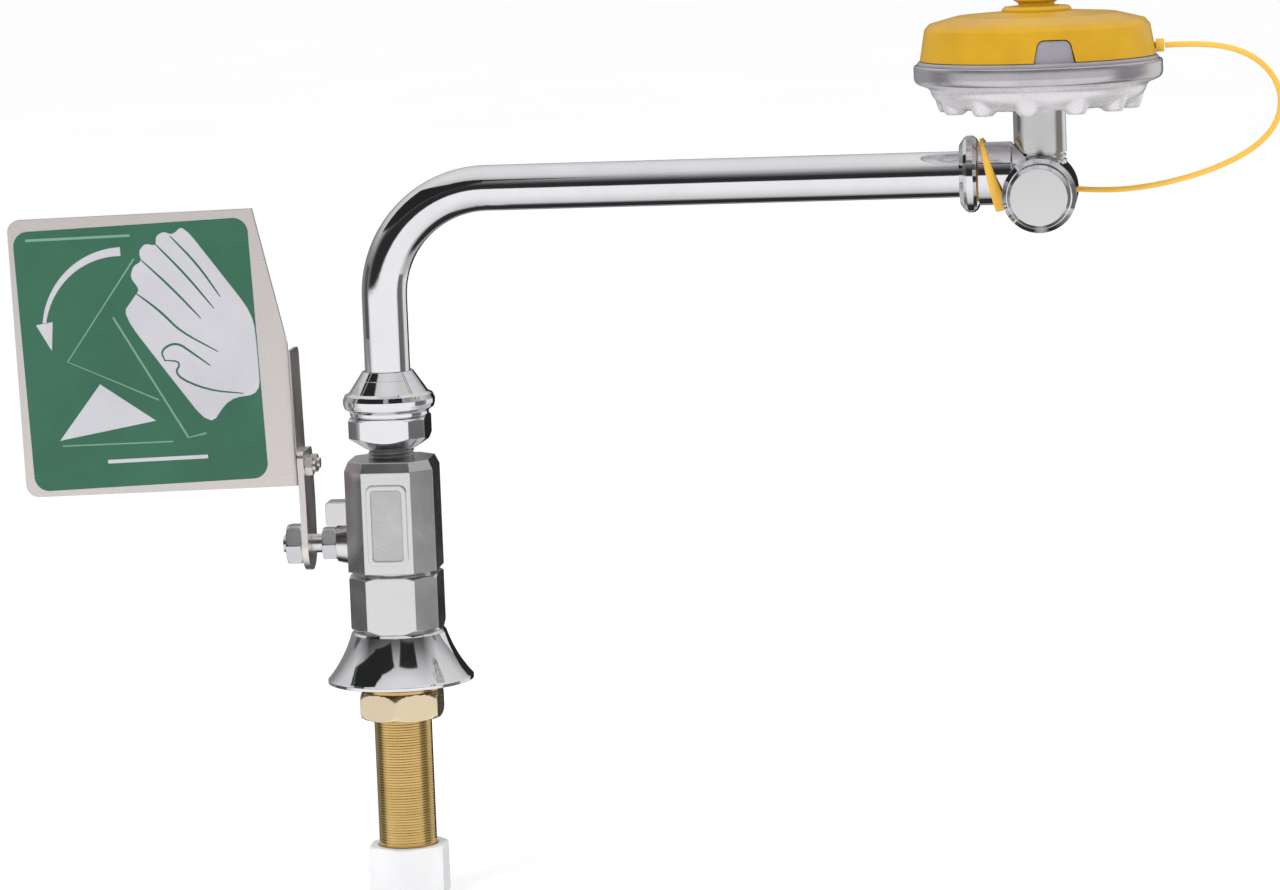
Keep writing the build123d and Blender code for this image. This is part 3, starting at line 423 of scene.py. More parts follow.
nylon = moulded_plastic(
    "white_nylon", (0.86, 0.86, 0.87), (0.76, 0.76, 0.77), (0.32, 0.5), glow=0.15)
rubber = moulded_plastic("seal_rubber", (0.05, 0.05, 0.052), (0.02, 0.02, 0.022), (0.5, 0.75))
seat_white = moulded_plastic("seat_plastic", (0.85, 0.85, 0.84), (0.74, 0.74, 0.73), (0.3, 0.45))
film = moulded_plastic(
    "green_label_film", (0.026, 0.138, 0.076), (0.018, 0.106, 0.056), (0.26, 0.4),
    relief=0.000006, coat=0.1)
head_grey = moulded_plastic(
    "moulded_head_grey", (0.35, 0.33, 0.37), (0.26, 0.245, 0.28), (0.26, 0.42), coat=0.2)
cover_yellow = moulded_plastic(
    "amber_cover", (0.67, 0.38, 0.005), (0.56, 0.3, 0.002), (0.3, 0.44), glow=0.1, coat=0.05)
strap_yellow = moulded_plastic(
    "strap_yellow", (0.93, 0.57, 0.085), (0.84, 0.48, 0.05), (0.28, 0.45), glow=0.15)
ink_white = moulded_plastic(
    "white_ink", (0.545, 0.535, 0.57), (0.48, 0.47, 0.505), (0.25, 0.4), relief=0.000004)
ink_pale = moulded_plastic(
    "pale_green_ink", (0.2, 0.36, 0.27), (0.15, 0.3, 0.21), (0.25, 0.4), relief=0.000004)
ink_lilac = moulded_plastic(
    "lilac_ink", (0.55, 0.55, 0.58), (0.485, 0.485, 0.51), (0.25, 0.4), relief=0.000004)

finishes = {
    "chrome_bright": chrome,
    "satin_plate": cast_plate,
    "raw_brass": shank_brass,
    "white_nylon": nylon,
    "seal_rubber": rubber,
    "steel_mesh": mesh_steel,
    "seat_plastic": seat_white,
    "stainless": stainless,
    "label_film": film,
    "head_finish": head_metal,
    "head_plastic": head_grey,
    "cover_plastic": cover_yellow,
    "strap_plastic": strap_yellow,
}


def dress_frame():
    """Every carried-over node gets its slot's finish, and the side plug a turned face."""
    slots = {row["node"]: row["material_slot"] for row in frame["record"]["subparts"]}
    for name, obj in frame["nodes"].items():
        finish = finishes[slots[name]]
        if not obj.material_slots:
            obj.data.materials.append(finish)
        for slot in obj.material_slots:
            slot.material = finish
    frame["nodes"]["side_plug"].material_slots[0].material = plug_face


# ---- mesh helpers ----

def body_mesh(name, verts, faces, finish, smooth=True):
    """A closed mesh from millimetre points, its doubles merged and its faces turned outwards."""
    work = bmesh.new()
    made = [work.verts.new(Vector(v) * MM) for v in verts]
    for face in faces:
        work.faces.new([made[i] for i in face])
    bmesh.ops.remove_doubles(work, verts=work.verts, dist=0.000001)
    bmesh.ops.recalc_face_normals(work, faces=work.faces)
    mesh = bpy.data.meshes.new(name)
    work.to_mesh(mesh)
    work.free()
    mesh.materials.append(finish)
    mesh.polygons.foreach_set("use_smooth", [smooth] * len(mesh.polygons))
    return new_object(name, mesh)


def sharpen(obj, degrees=35.0):
    """Edges sharper than this angle stay crisp."""
    obj.data.set_sharp_from_angle(angle=math.radians(degrees))
    return obj


def join_body(obj, body, slot, *nodes):
    """A finished piece rides on its body, and the frame nodes that it stands for are hidden; slot is
    not used.
    """
    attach(obj, body)
    if nodes:
        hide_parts(*nodes)
    return obj


def lathe_rows(rows, steps, place=None):
    """Rings of points, one for each row of (radius by angle, height); place moves each point."""
    verts = []
    for radius, height in rows:
        for step in range(steps):
            angle = 2 * math.pi * step / steps
            r = radius(angle) if callable(radius) else radius
            point = Vector((r * math.cos(angle), r * math.sin(angle), height))
            verts.append(place @ point if place else point)
    return verts


def lathe_faces(count, steps, closed):
    """Quads between the rings, and back to the first ring when the section is closed."""
    faces = []
    for row in range(count if closed else count - 1):
        below = row * steps
        above = (row + 1) % count * steps
        for step in range(steps):
            after = (step + 1) % steps
            faces.append((below + step, below + after, above + after, above + step))
    return faces


def lathe(name, rows, steps, finish, place=None):
    """A closed ring-shaped section turned about Z."""
    verts = lathe_rows(rows, steps, place)
    return sharpen(body_mesh(name, verts, lathe_faces(len(rows), steps, True), finish))


def along_stem(x):
    """Place for a piece that is turned about the stem: its base at x, its axis towards -X."""
    turn = Matrix.Rotation(math.radians(-90.0), 4, "Y")
    return Matrix.Translation((x, 0.0, stem_z)) @ turn


def hexagon(flat, cap):
    """Radius of a hexagon over the angle, cut off at cap; flat is half its width across flats."""
    def radius(angle):
        turn = (angle - math.radians(30.0)) % math.radians(60.0) - math.radians(30.0)
        return min(flat / math.cos(turn), cap)
    return radius


def hexagon_nut(name, flat, height, crown, inner, finish, place):
    """Hexagon nut, its corners turned off in a curve; inner is its bore's section, top to foot."""
    corner = flat / math.cos(math.radians(30.0))
    face = flat * 0.96
    rows = []
    levels = 7
    for step in range(levels + 1):
        quarter = step / levels * math.pi / 2
        cap = face + (corner - face) * math.sin(quarter)
        rows.append((hexagon(flat, cap), crown * (1 - math.cos(quarter))))
    rows += [(r, height - z) for r, z in reversed(rows)]
    return lathe(name, rows + list(inner), 120, finish, place)


# ---- thread ----

def shape_tree(name, sizes):
    """A new geometry tree with its sizes and finish as named inputs."""
    tree = bpy.data.node_groups.new(name, "GeometryNodeTree")
    face = tree.interface
    face.new_socket("Geometry", in_out="INPUT", socket_type="NodeSocketGeometry")
    for label in sizes:
        face.new_socket(label, in_out="INPUT", socket_type="NodeSocketFloat")
    face.new_socket("Finish", in_out="INPUT", socket_type="NodeSocketMaterial")
    face.new_socket("Geometry", in_out="OUTPUT", socket_type="NodeSocketGeometry")
    return tree, tree.nodes.new("NodeGroupInput").outputs


def end_tree(tree, geometry, finish):
    """The tree's last nodes: real geometry with its finish."""
    real = node(tree, "GeometryNodeRealizeInstances", None, {0: geometry})
    inputs = {"Geometry": real.outputs[0], "Material": finish}
    done = node(tree, "GeometryNodeSetMaterial", None, inputs)
    tree.links.new(done.outputs[0], tree.nodes.new("NodeGroupOutput").inputs[0])


def make_thread_tree():
    """Geometry tree that cuts a helical thread about Z into the blank's outer wall."""
    tree, given = shape_tree("cut_thread", ("Pitch", "Depth", "Low", "High", "Wall"))
    run_out = 1.5 * MM
    place = tree.nodes.new("GeometryNodeInputPosition").outputs[0]
    parts = node(tree, "ShaderNodeSeparateXYZ", None, {0: place}).outputs
    angle = calc(tree, "ARCTAN2", parts[1], parts[0])
    turn = calc(tree, "DIVIDE", angle, 2 * math.pi)
    climb = calc(tree, "DIVIDE", parts[2], given["Pitch"])
    phase = calc(tree, "FRACT", calc(tree, "SUBTRACT", climb, turn))
    wave = calc(tree, "ABSOLUTE", calc(tree, "SUBTRACT", phase, 0.5))
    crest = span(tree, wave, 0.06, 0.44, 0.0, 1.0)
    full_from = calc(tree, "ADD", given["Low"], run_out)
    full_to = calc(tree, "SUBTRACT", given["High"], run_out)
    above = span(tree, parts[2], given["Low"], full_from, 0.0, 1.0)
    below = span(tree, parts[2], full_to, given["High"], 1.0, 0.0)
    radius = radius_of(tree, parts)
    cut = calc(tree, "GREATER_THAN", radius, given["Wall"])
    for factor in (crest, above, below, given["Depth"]):
        cut = calc(tree, "MULTIPLY", cut, factor)
    share = calc(tree, "SUBTRACT", 1.0, calc(tree, "DIVIDE", cut, radius))
    moved = node(
        tree, "ShaderNodeCombineXYZ", None,
        {0: calc(tree, "MULTIPLY", parts[0], share), 1: calc(tree, "MULTIPLY", parts[1], share),
         2: parts[2]},
    ).outputs[0]
    threaded = node(tree, "GeometryNodeSetPosition", None, {"Geometry": given[0], "Position": moved})
    end_tree(tree, threaded.outputs[0], given["Finish"])
    return tree


def grown(obj, tree, values):
    """The blank after its tree, as a plain mesh with no modifier."""
    modifier = obj.modifiers.new("shape", "NODES")
    modifier.node_group = tree
    for item in tree.interface.items_tree:
        if item.item_type == "SOCKET" and item.in_out == "INPUT" and item.name in values:
            modifier[item.identifier] = values[item.name]
    graph = bpy.context.evaluated_depsgraph_get()
    mesh = bpy.data.meshes.new_from_object(obj.evaluated_get(graph))
    obj.modifiers.remove(modifier)
    obj.data = mesh
    return obj


cut_thread = make_thread_tree()


def build_shank():
    """Threaded brass tube through the deck."""
    foot, side = node_box("shank")
    valve_foot = node_box("valve_end_piece")[0].z
    low, high, outer, bore = foot.z, valve_foot - 0.8, side.x, 7.5
    foot_bevel, top_bevel, levels = 0.9, 0.3, 420
    rows = [(bore, low + 0.6), (bore + 0.6, low), (outer - foot_bevel, low)]
    for step in range(levels + 1):
        rise = (high - low - foot_bevel - top_bevel) * step / levels
        rows.append((outer, low + foot_bevel + rise))
    rows += [(outer - 0.4, high), (bore, high)]
    blank = lathe("threaded_shank", rows, 72, shank_brass)
    values = {
        "Pitch": 1.27 * MM, "Depth": 0.08 * MM, "Low": (low + 0.6) * MM, "High": high * MM,
        "Wall": (outer - 0.8) * MM, "Finish": shank_brass,
    }
    join_body(grown(blank, cut_thread, values), "base", "raw_brass", "shank")


def build_column_nuts():
    """The nut under the deck and the supply coupling's nut, each with a corner to the front."""
    low, high = node_box("lock_nut")
    height = high.z - low.z
    thread = ((14.4, height), (13.6, height - 0.8), (13.6, 0.8), (14.4, 0.0))
    place = Matrix.Translation((0.0, 0.0, low.z))
    lower = hexagon_nut("deck_lock_nut", 18.45, height, 3.2, thread, nut_brass, place)
    join_body(lower, "base", "raw_brass", "lock_nut")
    low, high = node_box("supply_nut")
    height = high.z - low.z
    mouth = (
        (14.6, height), (13.75, height - 0.8), (13.75, 6.4), (6.6, 6.4), (6.6, 0.5), (7.1, 0.0),
    )
    place = Matrix.Translation((0.0, 0.0, low.z))
    supply = hexagon_nut("supply_coupling_nut", 17.75, height, 2.2, mouth, nylon, place)
    join_body(supply, "base", "white_nylon", "supply_nut")


def build_neck_thread():
    """Thread of the outlet adapter, open to view between the valve and the adapter's block."""
    low = node_box("valve_body")[1].z + 0.1
    high, outer, bore = low + 4.8, 10.85, 10.02
    bevel, levels, run_out = 0.2, 48, 1.5
    rows = [(bore, low), (outer - 0.3, low)]
    for step in range(levels + 1):
        rows.append((outer, low + bevel + (high - low - 2 * bevel) * step / levels))
    rows += [(outer - 0.3, high), (bore, high)]
    blank = lathe("neck_thread", rows, 72, neck_plate)
    values = {
        "Pitch": 1.81 * MM, "Depth": 0.7 * MM, "Low": (low - run_out) * MM,
        "High": (high + run_out) * MM, "Wall": (outer - 0.45) * MM, "Finish": neck_plate,
    }
    join_body(grown(blank, cut_thread, values), "base", "chrome_bright")


def build_stem_nuts():
    """Gland nut and handle nut on the stem."""
    height = 7.0
    place = along_stem(node_box("gland_nut")[0].x + height)
    bore = ((4.9, height), (4.6, height - 0.3), (4.6, 0.3), (4.9, 0.0))
    gland = hexagon_nut("stem_gland_nut", 7.2, height, 1.3, bore, chrome_turned, place)
    join_body(gland, "base", "chrome_bright", "gland_nut")
    low, high = node_box("handle_nut")
    height = high.x - low.x
    place = along_stem(high.x)
    bore = ((4.3, height), (4.05, height - 0.3), (4.05, 0.3), (4.3, 0.0))
    handle = hexagon_nut("lever_handle_nut", 8.83, height, 1.6, bore, chrome_turned, place)
    join_body(handle, "lever", "chrome_bright", "handle_nut")


# ---- strap ----

def strap_line():
    """Points read along the strap's smooth line."""
    data = bpy.data.curves.new("strap_line", "CURVE")
    data.dimensions = "3D"
    data.resolution_u = 10
    spline = data.splines.new("NURBS")
    spline.points.add(len(strap_points) - 1)
    for point, place in zip(spline.points, strap_points):
        point.co = (*(Vector(place) * MM), 1.0)
    spline.order_u = 3
    spline.use_endpoint_u = True
    guide = new_object("strap_line", data)
    graph = bpy.context.evaluated_depsgraph_get()
    mesh = bpy.data.meshes.new_from_object(guide.evaluated_get(graph))
    line = [v.co.copy() for v in mesh.vertices]
    bpy.data.objects.remove(guide)
    bpy.data.meshes.remove(mesh)
    return line


def tube_along(name, line, section, finish):
    """A closed tube whose section, in millimetres, follows a line without twisting."""
    verts = []
    side = Vector((0.0, 1.0, 0.0))
    last = len(line) - 1
    for index, point in enumerate(line):
        ahead = (line[min(index + 1, last)] - line[max(index - 1, 0)]).normalized()
        side = (side - ahead * side.dot(ahead)).normalized()
        lift = ahead.cross(side)
        for u, v in section:
            verts.append((point + (side * u + lift * v) * MM) / MM)
    count = len(section)
    faces = lathe_faces(len(line), count, False)
    faces.append(tuple(range(count)))
    faces.append(tuple(last * count + step for step in range(count)))
    return sharpen(body_mesh(name, verts, faces, finish), 50.0)


def build_strap():
    """The soft strap from the cover's anchor to its loop."""
    line = strap_line()
    sides = 16
    section = []
    for step in range(sides):
        angle = 2 * math.pi * step / sides
        section.append((strap_radius * math.cos(angle), strap_radius * math.sin(angle)))
    strap = tube_along("cover_strap", line, section, strap_yellow)
    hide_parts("strap")
    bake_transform(strap)


def build_strap_loop():
    """The strap's loop round the head adapter: a band, wide at the foot and narrow at the top."""
    centre = Vector((286.3, 0.0, 231.6))
    tilt = math.radians(15.5)
    axis = Vector((math.cos(tilt), 0.0, math.sin(tilt)))
    up = Vector((-math.sin(tilt), 0.0, math.cos(tilt)))
    side = Vector((0.0, 1.0, 0.0))
    inside, outside, steps = 15.9, 17.4, 96
    narrow_half, widening, side_swell = 0.95, 1.12, 0.6
    section = ((-1, inside + 0.3), (-0.86, inside), (0.86, inside), (1, inside + 0.3),
               (1, outside - 0.4), (0.8, outside), (-0.8, outside), (-1, outside - 0.4))
    verts = []
    for step in range(steps):
        angle = 2 * math.pi * step / steps
        out = up * math.cos(angle) + side * math.sin(angle)
        half = narrow_half + widening * (1 - math.cos(angle))
        half += side_swell * max(0.0, math.sin(angle)) ** 2
        for along, r in section:
            verts.append(centre + out * r + axis * (along * half))
    faces = lathe_faces(steps, len(section), True)
    loop = sharpen(body_mesh("strap_band", verts, faces, strap_yellow), 50.0)
    join_body(loop, "spout", "strap_plastic", "strap_loop")


# ---- lines and curves ----

def eased(points):
    """Corner cutting of an open line, its ends kept."""
    for _ in range(2):
        cut = [points[0]]
        for first, after in zip(points, points[1:]):
            cut.append((first[0] * 0.75 + after[0] * 0.25, first[1] * 0.75 + after[1] * 0.25))
            cut.append((first[0] * 0.25 + after[0] * 0.75, first[1] * 0.25 + after[1] * 0.75))
        points = [*cut, points[-1]]
    return points


def fine(points, gap):
    """An open line with points no further apart than gap."""
    line = [points[0]]
    for first, after in zip(points, points[1:]):
        steps = max(1, math.ceil(math.dist(first, after) / gap))
        for step in range(1, steps + 1):
            line.append(tuple(a + (b - a) * step / steps for a, b in zip(first, after)))
    return line


def ease_step(low, high, value):
    """Smooth rise from 0 to 1 between two values."""
    share = min(1.0, max(0.0, (value - low) / (high - low)))
    return share * share * (3 - 2 * share)


# ---- head ----

def boss_rise(r, rise, angle):
    """Height of the underside where a boss blends into it; every other boss has a screw's hole."""
    boss_ring, first_boss, boss_gap, boss_foot = 42.0, 15.0, 30.0, -1.25
    near = round((math.degrees(angle) - first_boss) / boss_gap) * boss_gap + first_boss
    place = math.radians(near)
    gap = math.dist(
        (r * math.cos(angle), r * math.sin(angle)),
        (boss_ring * math.cos(place), boss_ring * math.sin(place)),
    )
    lump = 1.0 - ease_step(3.6, 6.6, gap)
    hole = (1.0 - ease_step(2.75, 3.2, gap)) * (near % (2 * boss_gap) == first_boss + boss_gap)
    return rise + (boss_foot - rise) * lump + 1.6 * hole


def build_head_shell():
    """Lower bowl of the head: a rounded dish with blended screw bosses round its underside."""
    height, steps, boss_top, rim_foot = 21.0, 360, 9.0, 12.6
    foot = node_box("head_bowl")[1].z - height
    outer = fine(eased([
        (10.6, 0.0), (24.0, 0.1), (38.0, 0.4), (44.5, 1.9), (49.0, 6.3), (50.0, 10.3), (55.4, 12.0),
        (57.2, 14.0), (57.2, 17.5), (57.2, 20.2), (56.6, height), (55.6, height),
    ]), 0.9)
    inner = [
        (55.6, 17.0), (53.0, 17.0), (53.0, 15.4), (47.4, 11.9), (46.0, 8.1), (43.0, 4.4), (38.0, 2.9),
        (13.5, 2.4), (13.5, 9.0), (10.6, 9.0),
    ]
    place = Matrix.Translation((head_x, 0.0, foot)) @ Matrix.Rotation(head_turn, 4, "Z")
    rows = [(r, rise, rise < boss_top) for r, rise in outer] + [(r, rise, False) for r, rise in inner]
    verts = []
    for r, rise, underside in rows:
        for step in range(steps):
            angle = 2 * math.pi * step / steps
            z = boss_rise(r, rise, angle) if underside else rise
            verts.append(place @ Vector((r * math.cos(angle), r * math.sin(angle), z)))
    # Below the rim band the bowl takes the paler underside finish, a painted reflection of the floor;
    # the rim band keeps the head finish
    shell = body_mesh("head_shell", verts, lathe_faces(len(rows), steps, True), head_underside_painted_reflection)
    shell.data.materials.append(head_metal)
    for face in shell.data.polygons:
        if face.center.z > (foot + rim_foot) * MM:
            face.material_index = 1
    join_body(sharpen(shell, 40.0), "spout", "head_finish", "head_bowl")


# ---- spray outlets ----

def make_jet_tree():
    """Geometry tree that stands a small tapered jet on every point."""
    tree, given = shape_tree("stand_jets", ("Foot Radius", "Mouth Radius", "Height"))
    jet = node(
        tree, "GeometryNodeMeshCone", None,
        {"Vertices": 16, "Radius Top": given["Mouth Radius"], "Radius Bottom": given["Foot Radius"],
         "Depth": given["Height"]},
    ).outputs["Mesh"]
    spots = node(tree, "GeometryNodeMeshToPoints", None, {"Mesh": given[0]})
    inputs = {"Points": spots.outputs[0], "Instance": jet}
    stood = node(tree, "GeometryNodeInstanceOnPoints", None, inputs)
    end_tree(tree, stood.outputs[0], given["Finish"])
    return tree


def build_outlet_jets():
    """Rings of small jets on both outlets."""
    outlet_ring = 27.0
    foot = (head_x, 0.0, node_box("outlet_nozzles")[1].z + 0.1)
    place = Matrix.Translation(foot) @ Matrix.Rotation(head_turn, 4, "Z")
    points = []
    for side in (-1, 1):
        for ring, count in ((0.0, 1), (2.2, 6), (4.4, 12)):
            for step in range(count):
                angle = 2 * math.pi * step / count
                along = side * outlet_ring + ring * math.cos(angle)
                points.append(place @ Vector((along, ring * math.sin(angle), 0.0)) * MM)
    mesh = bpy.data.meshes.new("outlet_jets")
    mesh.from_pydata(points, [], [])
    jets = new_object("outlet_jets", mesh)
    values = {
        "Foot Radius": 0.75 * MM, "Mouth Radius": 0.5 * MM, "Height": 0.9 * MM, "Finish": head_grey,
    }
    join_body(grown(jets, make_jet_tree(), values), "spout", "head_plastic")


# ---- valve pad ----

def build_pad_panel():
    """The rough inner panel of the valve's raised pad, left blank."""
    half_width, half_height, columns, rows = 7.1, 16.6, 56, 128
    pad_y = node_box("valve_body")[0].y
    face_y, back_y, middle_z, border_width = pad_y + 0.44, pad_y + 0.8, 76.6, 0.8
    verts, faces = [], []
    for row in range(rows + 1):
        for column in range(columns + 1):
            x = (2 * column / columns - 1) * half_width
            z = (2 * row / rows - 1) * half_height
            edge = min(half_width - abs(x), half_height - abs(z))
            lump = noise.noise(Vector((x * 1.5, z * 1.5, 3.0))) * 0.05
            lump += noise.noise(Vector((x * 3.1, z * 3.1, 9.0))) * 0.04
            verts.append((x, face_y - lump * min(1.0, edge / border_width), middle_z + z))
    width = columns + 1
    for row in range(rows):
        for column in range(columns):
            first = row * width + column
            faces.append((first, first + 1, first + 1 + width, first + width))
    count = len(verts)
    border = [
        *range(columns), *(r * width + columns for r in range(rows)),
        *(rows * width + c for c in range(columns, 0, -1)), *(r * width for r in range(rows, 0, -1)),
    ]
    verts += [(verts[i][0], back_y, verts[i][2]) for i in border]
    for step in range(len(border)):
        after = (step + 1) % len(border)
        faces.append((border[step], border[after], count + after, count + step))
    faces.append(tuple(count + step for step in reversed(range(len(border)))))
    panel = sharpen(body_mesh("valve_pad_panel", verts, faces, pad_cast), 60.0)
    join_body(panel, "base", "satin_plate")


# ---- label drawing ----

def label_place():
    """Turns label millimetres, x right and y up from its middle, into the frame."""
    middle = node_middle("flag_label")
    turn = Matrix.Rotation(-label_turn, 4, "Y")
    return Matrix.Translation((middle.x, 0.0, middle.z)) @ turn


def rounded(points):
    """Corner cutting of a closed outline."""
    for _ in range(2):
        cut = []
        for index, point in enumerate(points):
            after = points[(index + 1) % len(points)]
            cut.append((point[0] * 0.8 + after[0] * 0.2, point[1] * 0.8 + after[1] * 0.2))
            cut.append((point[0] * 0.2 + after[0] * 0.8, point[1] * 0.2 + after[1] * 0.8))
        points = cut
    return points


def ribbon(points, widths):
    """Outline of a stroke along open points, with a width at each."""
    left, right = [], []
    last = len(points) - 1
    for index, (x, y) in enumerate(points):
        ahead = Vector(points[min(index + 1, last)]) - Vector(points[max(index - 1, 0)])
        ahead.normalize()
        half = widths[index] / 2
        left.append((x - ahead.y * half, y + ahead.x * half))
        right.append((x + ahead.y * half, y - ahead.x * half))
    return left + right[::-1]


def pen_stroke(points, width):
    """A smooth stroke that thins towards both ends."""
    line = eased(points)
    last = len(line) - 1
    swell = [0.35 + 0.65 * math.sin(math.pi * i / last) for i in range(last + 1)]
    return ribbon(line, [width * share for share in swell])


def arc_points(centre, radius, first, last, count):
    """Points on an arc, angles in degrees."""
    points = []
    for step in range(count + 1):
        angle = math.radians(first + (last - first) * step / count)
        points.append((centre[0] + radius * math.cos(angle), centre[1] + radius * math.sin(angle)))
    return points


def printed(name, outlines, finish, proud):
    """Ink areas on the label, a few hundredths of a millimetre proud of it."""
    ink_root = 0.02
    place = label_place()
    verts, faces = [], []
    for outline in outlines:
        first = len(verts)
        count = len(outline)
        for y in (label_face_y - proud, label_face_y + ink_root):
            for x, z in outline:
                verts.append(place @ Vector((x, y, z)))
        faces.append(tuple(first + i for i in range(count)))
        faces.append(tuple(first + count + i for i in reversed(range(count))))
        for i in range(count):
            after = (i + 1) % count
            faces.append((first + i, first + after, first + count + after, first + count + i))
    obj = body_mesh(name, verts, faces, finish, smooth=False)
    join_body(obj, "lever", "label_film")


def build_label_drawing():
    """An open hand that pushes a plate, and an arrow for the push's way round."""
    steps = 26
    sweep = arc_points((-6.5, 10.8), 38.6, 88, 169.3, steps)
    arrow = ribbon(sweep, [4.2 - 2.4 * i / steps for i in range(steps + 1)])
    point = [(-48.6, 17.4), (-44.6, 17.9), (-40.4, 18.4), (-42.0, 4.6)]
    hand = rounded([
        (25.7, 59.9), (40.5, 38.0), (55.4, 15.7), (55.8, -3.0), (55.6, -21.6), (40.3, -23.1),
        (30.2, -36.0), (12.0, -9.0), (-6.9, 19.8), (-0.8, 27.3), (2.4, 31.0), (-1.6, 37.0),
        (0.4, 42.2), (4.4, 44.0), (3.6, 49.0), (6.8, 52.4), (12.0, 51.0), (12.4, 55.6),
        (16.2, 57.4), (20.4, 55.6),
    ])
    printed("label_hand", [arrow, point, hand], ink_white, 0.04)
    lines = [
        pen_stroke([(19.0, 55.2), (31.0, 41.0), (40.5, 25.0)], 1.0),
        pen_stroke([(11.4, 52.2), (25.0, 36.5), (37.0, 19.8)], 1.0),
        pen_stroke([(4.0, 45.2), (18.0, 30.5), (30.4, 15.5)], 1.0),
        pen_stroke([(0.4, 29.4), (7.0, 24.0), (13.1, 18.2), (20.1, 10.0), (37.2, -0.6)], 1.1),
        pen_stroke([(11.6, -3.6), (9.8, 1.8), (17.6, 5.4), (25.5, -0.9), (33.0, -7.0)], 1.1),
        pen_stroke([(11.2, -3.0), (19.5, -4.2), (15.0, -10.4), (30.4, -18.4), (47.5, -21.0)], 1.0),
    ]
    printed("label_hand_lines", lines, film, 0.07)
    plate = [
        ribbon([(1.0, 45.6), (-35.0, -0.9), (7.0, -21.6)], [0.8, 0.8, 0.8]),
        ribbon([(-11.4, 18.7), (19.5, -40.2), (28.2, -38.6)], [1.0, 1.0, 1.0]),
        ribbon([(-41.0, -40.6), (12.0, -41.6)], [0.7, 0.7]),
        ribbon([(-50.0, 57.4), (0.0, 56.6)], [1.3, 1.3]),
    ]
    printed("label_plate_lines", plate, ink_pale, 0.04)
    wedge = [(-20.5, -12.4), (4.8, -31.3), (-42.1, -38.0)]
    bar = [(-20.0, -48.4), (28.0, -48.8), (28.0, -50.6), (-20.0, -50.2)]
    printed("label_wedge", [wedge, bar], ink_lilac, 0.04)


# ---- studio ----

def studio_floor():
    """A wide pale floor under the lowest point, open when it is seen from below."""
    radius, steps = 40.0, 64
    mesh = bpy.data.meshes.new("pale_floor")
    level = cad_low.z - 0.5 * MM
    rim = [(x, y, level) for x, y in arc_points((0.0, 0.0), radius, 0, 360, steps)[:steps]]
    mesh.from_pydata(rim, [], [tuple(range(steps))])
    material, tree, shader = finish_base("pale_floor")
    mottle = placed(tree, cloudy_grain, Cloud_Scale=3.0, Grain_Scale=220.0)
    tone = blend_colour(tree, mottle["Clouds"], (0.93, 0.93, 0.935), (0.945, 0.945, 0.945))
    tree.links.new(tone, shader.inputs["Base Color"])
    tree.links.new(span(tree, mottle["Grain"], 0.0, 1.0, 0.6, 0.75), shader.inputs["Roughness"])
    shader.inputs["Emission Color"].default_value = (1.0, 1.0, 1.0, 1.0)
    shader.inputs["Emission Strength"].default_value = 0.1
    below = tree.nodes.new("ShaderNodeNewGeometry").outputs["Backfacing"]
    clear = tree.nodes.new("ShaderNodeBsdfTransparent").outputs[0]
    open_below = node(tree, "ShaderNodeMixShader", None, {0: below, 1: shader.outputs[0], 2: clear})
    tree.links.new(open_below.outputs[0], tree.nodes["Material Output"].inputs["Surface"])
    mesh.materials.append(material)
    floor = new_object("pale_floor", mesh)
    floor.visible_glossy = False


def studio_card(name, azimuth, elevation, distance, width, height, tone):
    """A flat card seen only in reflections; azimuth 0 is in front and grows to the right."""
    a, e = math.radians(azimuth), math.radians(elevation)
    out = Vector((math.sin(a) * math.cos(e), -math.cos(a) * math.cos(e), math.sin(e)))
    side = Vector((math.cos(a), math.sin(a), 0.0))
    up = side.cross(-out)
    centre = Vector((0.08, 0.0, 0.15)) + out * distance
    corners = [centre + side * (u * width / 2) + up * (v * height / 2)
               for u, v in ((-1, -1), (1, -1), (1, 1), (-1, 1))]
    mesh = bpy.data.meshes.new(name)
    mesh.from_pydata(corners, [], [(0, 1, 2, 3)])
    material = bpy.data.materials.new(name)
    material.use_nodes = True
    tree = material.node_tree
    tree.nodes.clear()
    glow = node(tree, "ShaderNodeEmission", None, {"Color": (tone, tone, tone, 1.0), "Strength": 1.0})
    end = tree.nodes.new("ShaderNodeOutputMaterial")
    tree.links.new(glow.outputs[0], end.inputs["Surface"])
    mesh.materials.append(material)
    card = new_object(name, mesh)
    card.visible_camera = False
    card.visible_diffuse = False
    card.visible_shadow = False
    card.visible_transmission = False


def soft_box(name, place, aim, size, power):
    """A square soft light."""
    data = bpy.data.lights.new(name, "AREA")
    data.shape = "SQUARE"
    data.size = size
    data.energy = power
    light = new_object(name, data)
    light.location = place
    light.rotation_euler = (Vector(place) - Vector(aim)).to_track_quat("Z", "Y").to_euler()
    light.visible_camera = False
    light.visible_glossy = False


def tone_ramp(tree, place, stops):
    """Grey tones over the elevation, from stops of (degrees, tone)."""
    ramp = node(tree, "ShaderNodeValToRGB", None, {0: place})
    marks = ramp.color_ramp.elements
    for index, (degrees, tone) in enumerate(stops):
        mark = marks[index] if index < 2 else marks.new(1.0)
        mark.position = (degrees + 90.0) / 180.0
        mark.color = (tone, tone, tone, 1.0)
    return ramp.outputs[0]


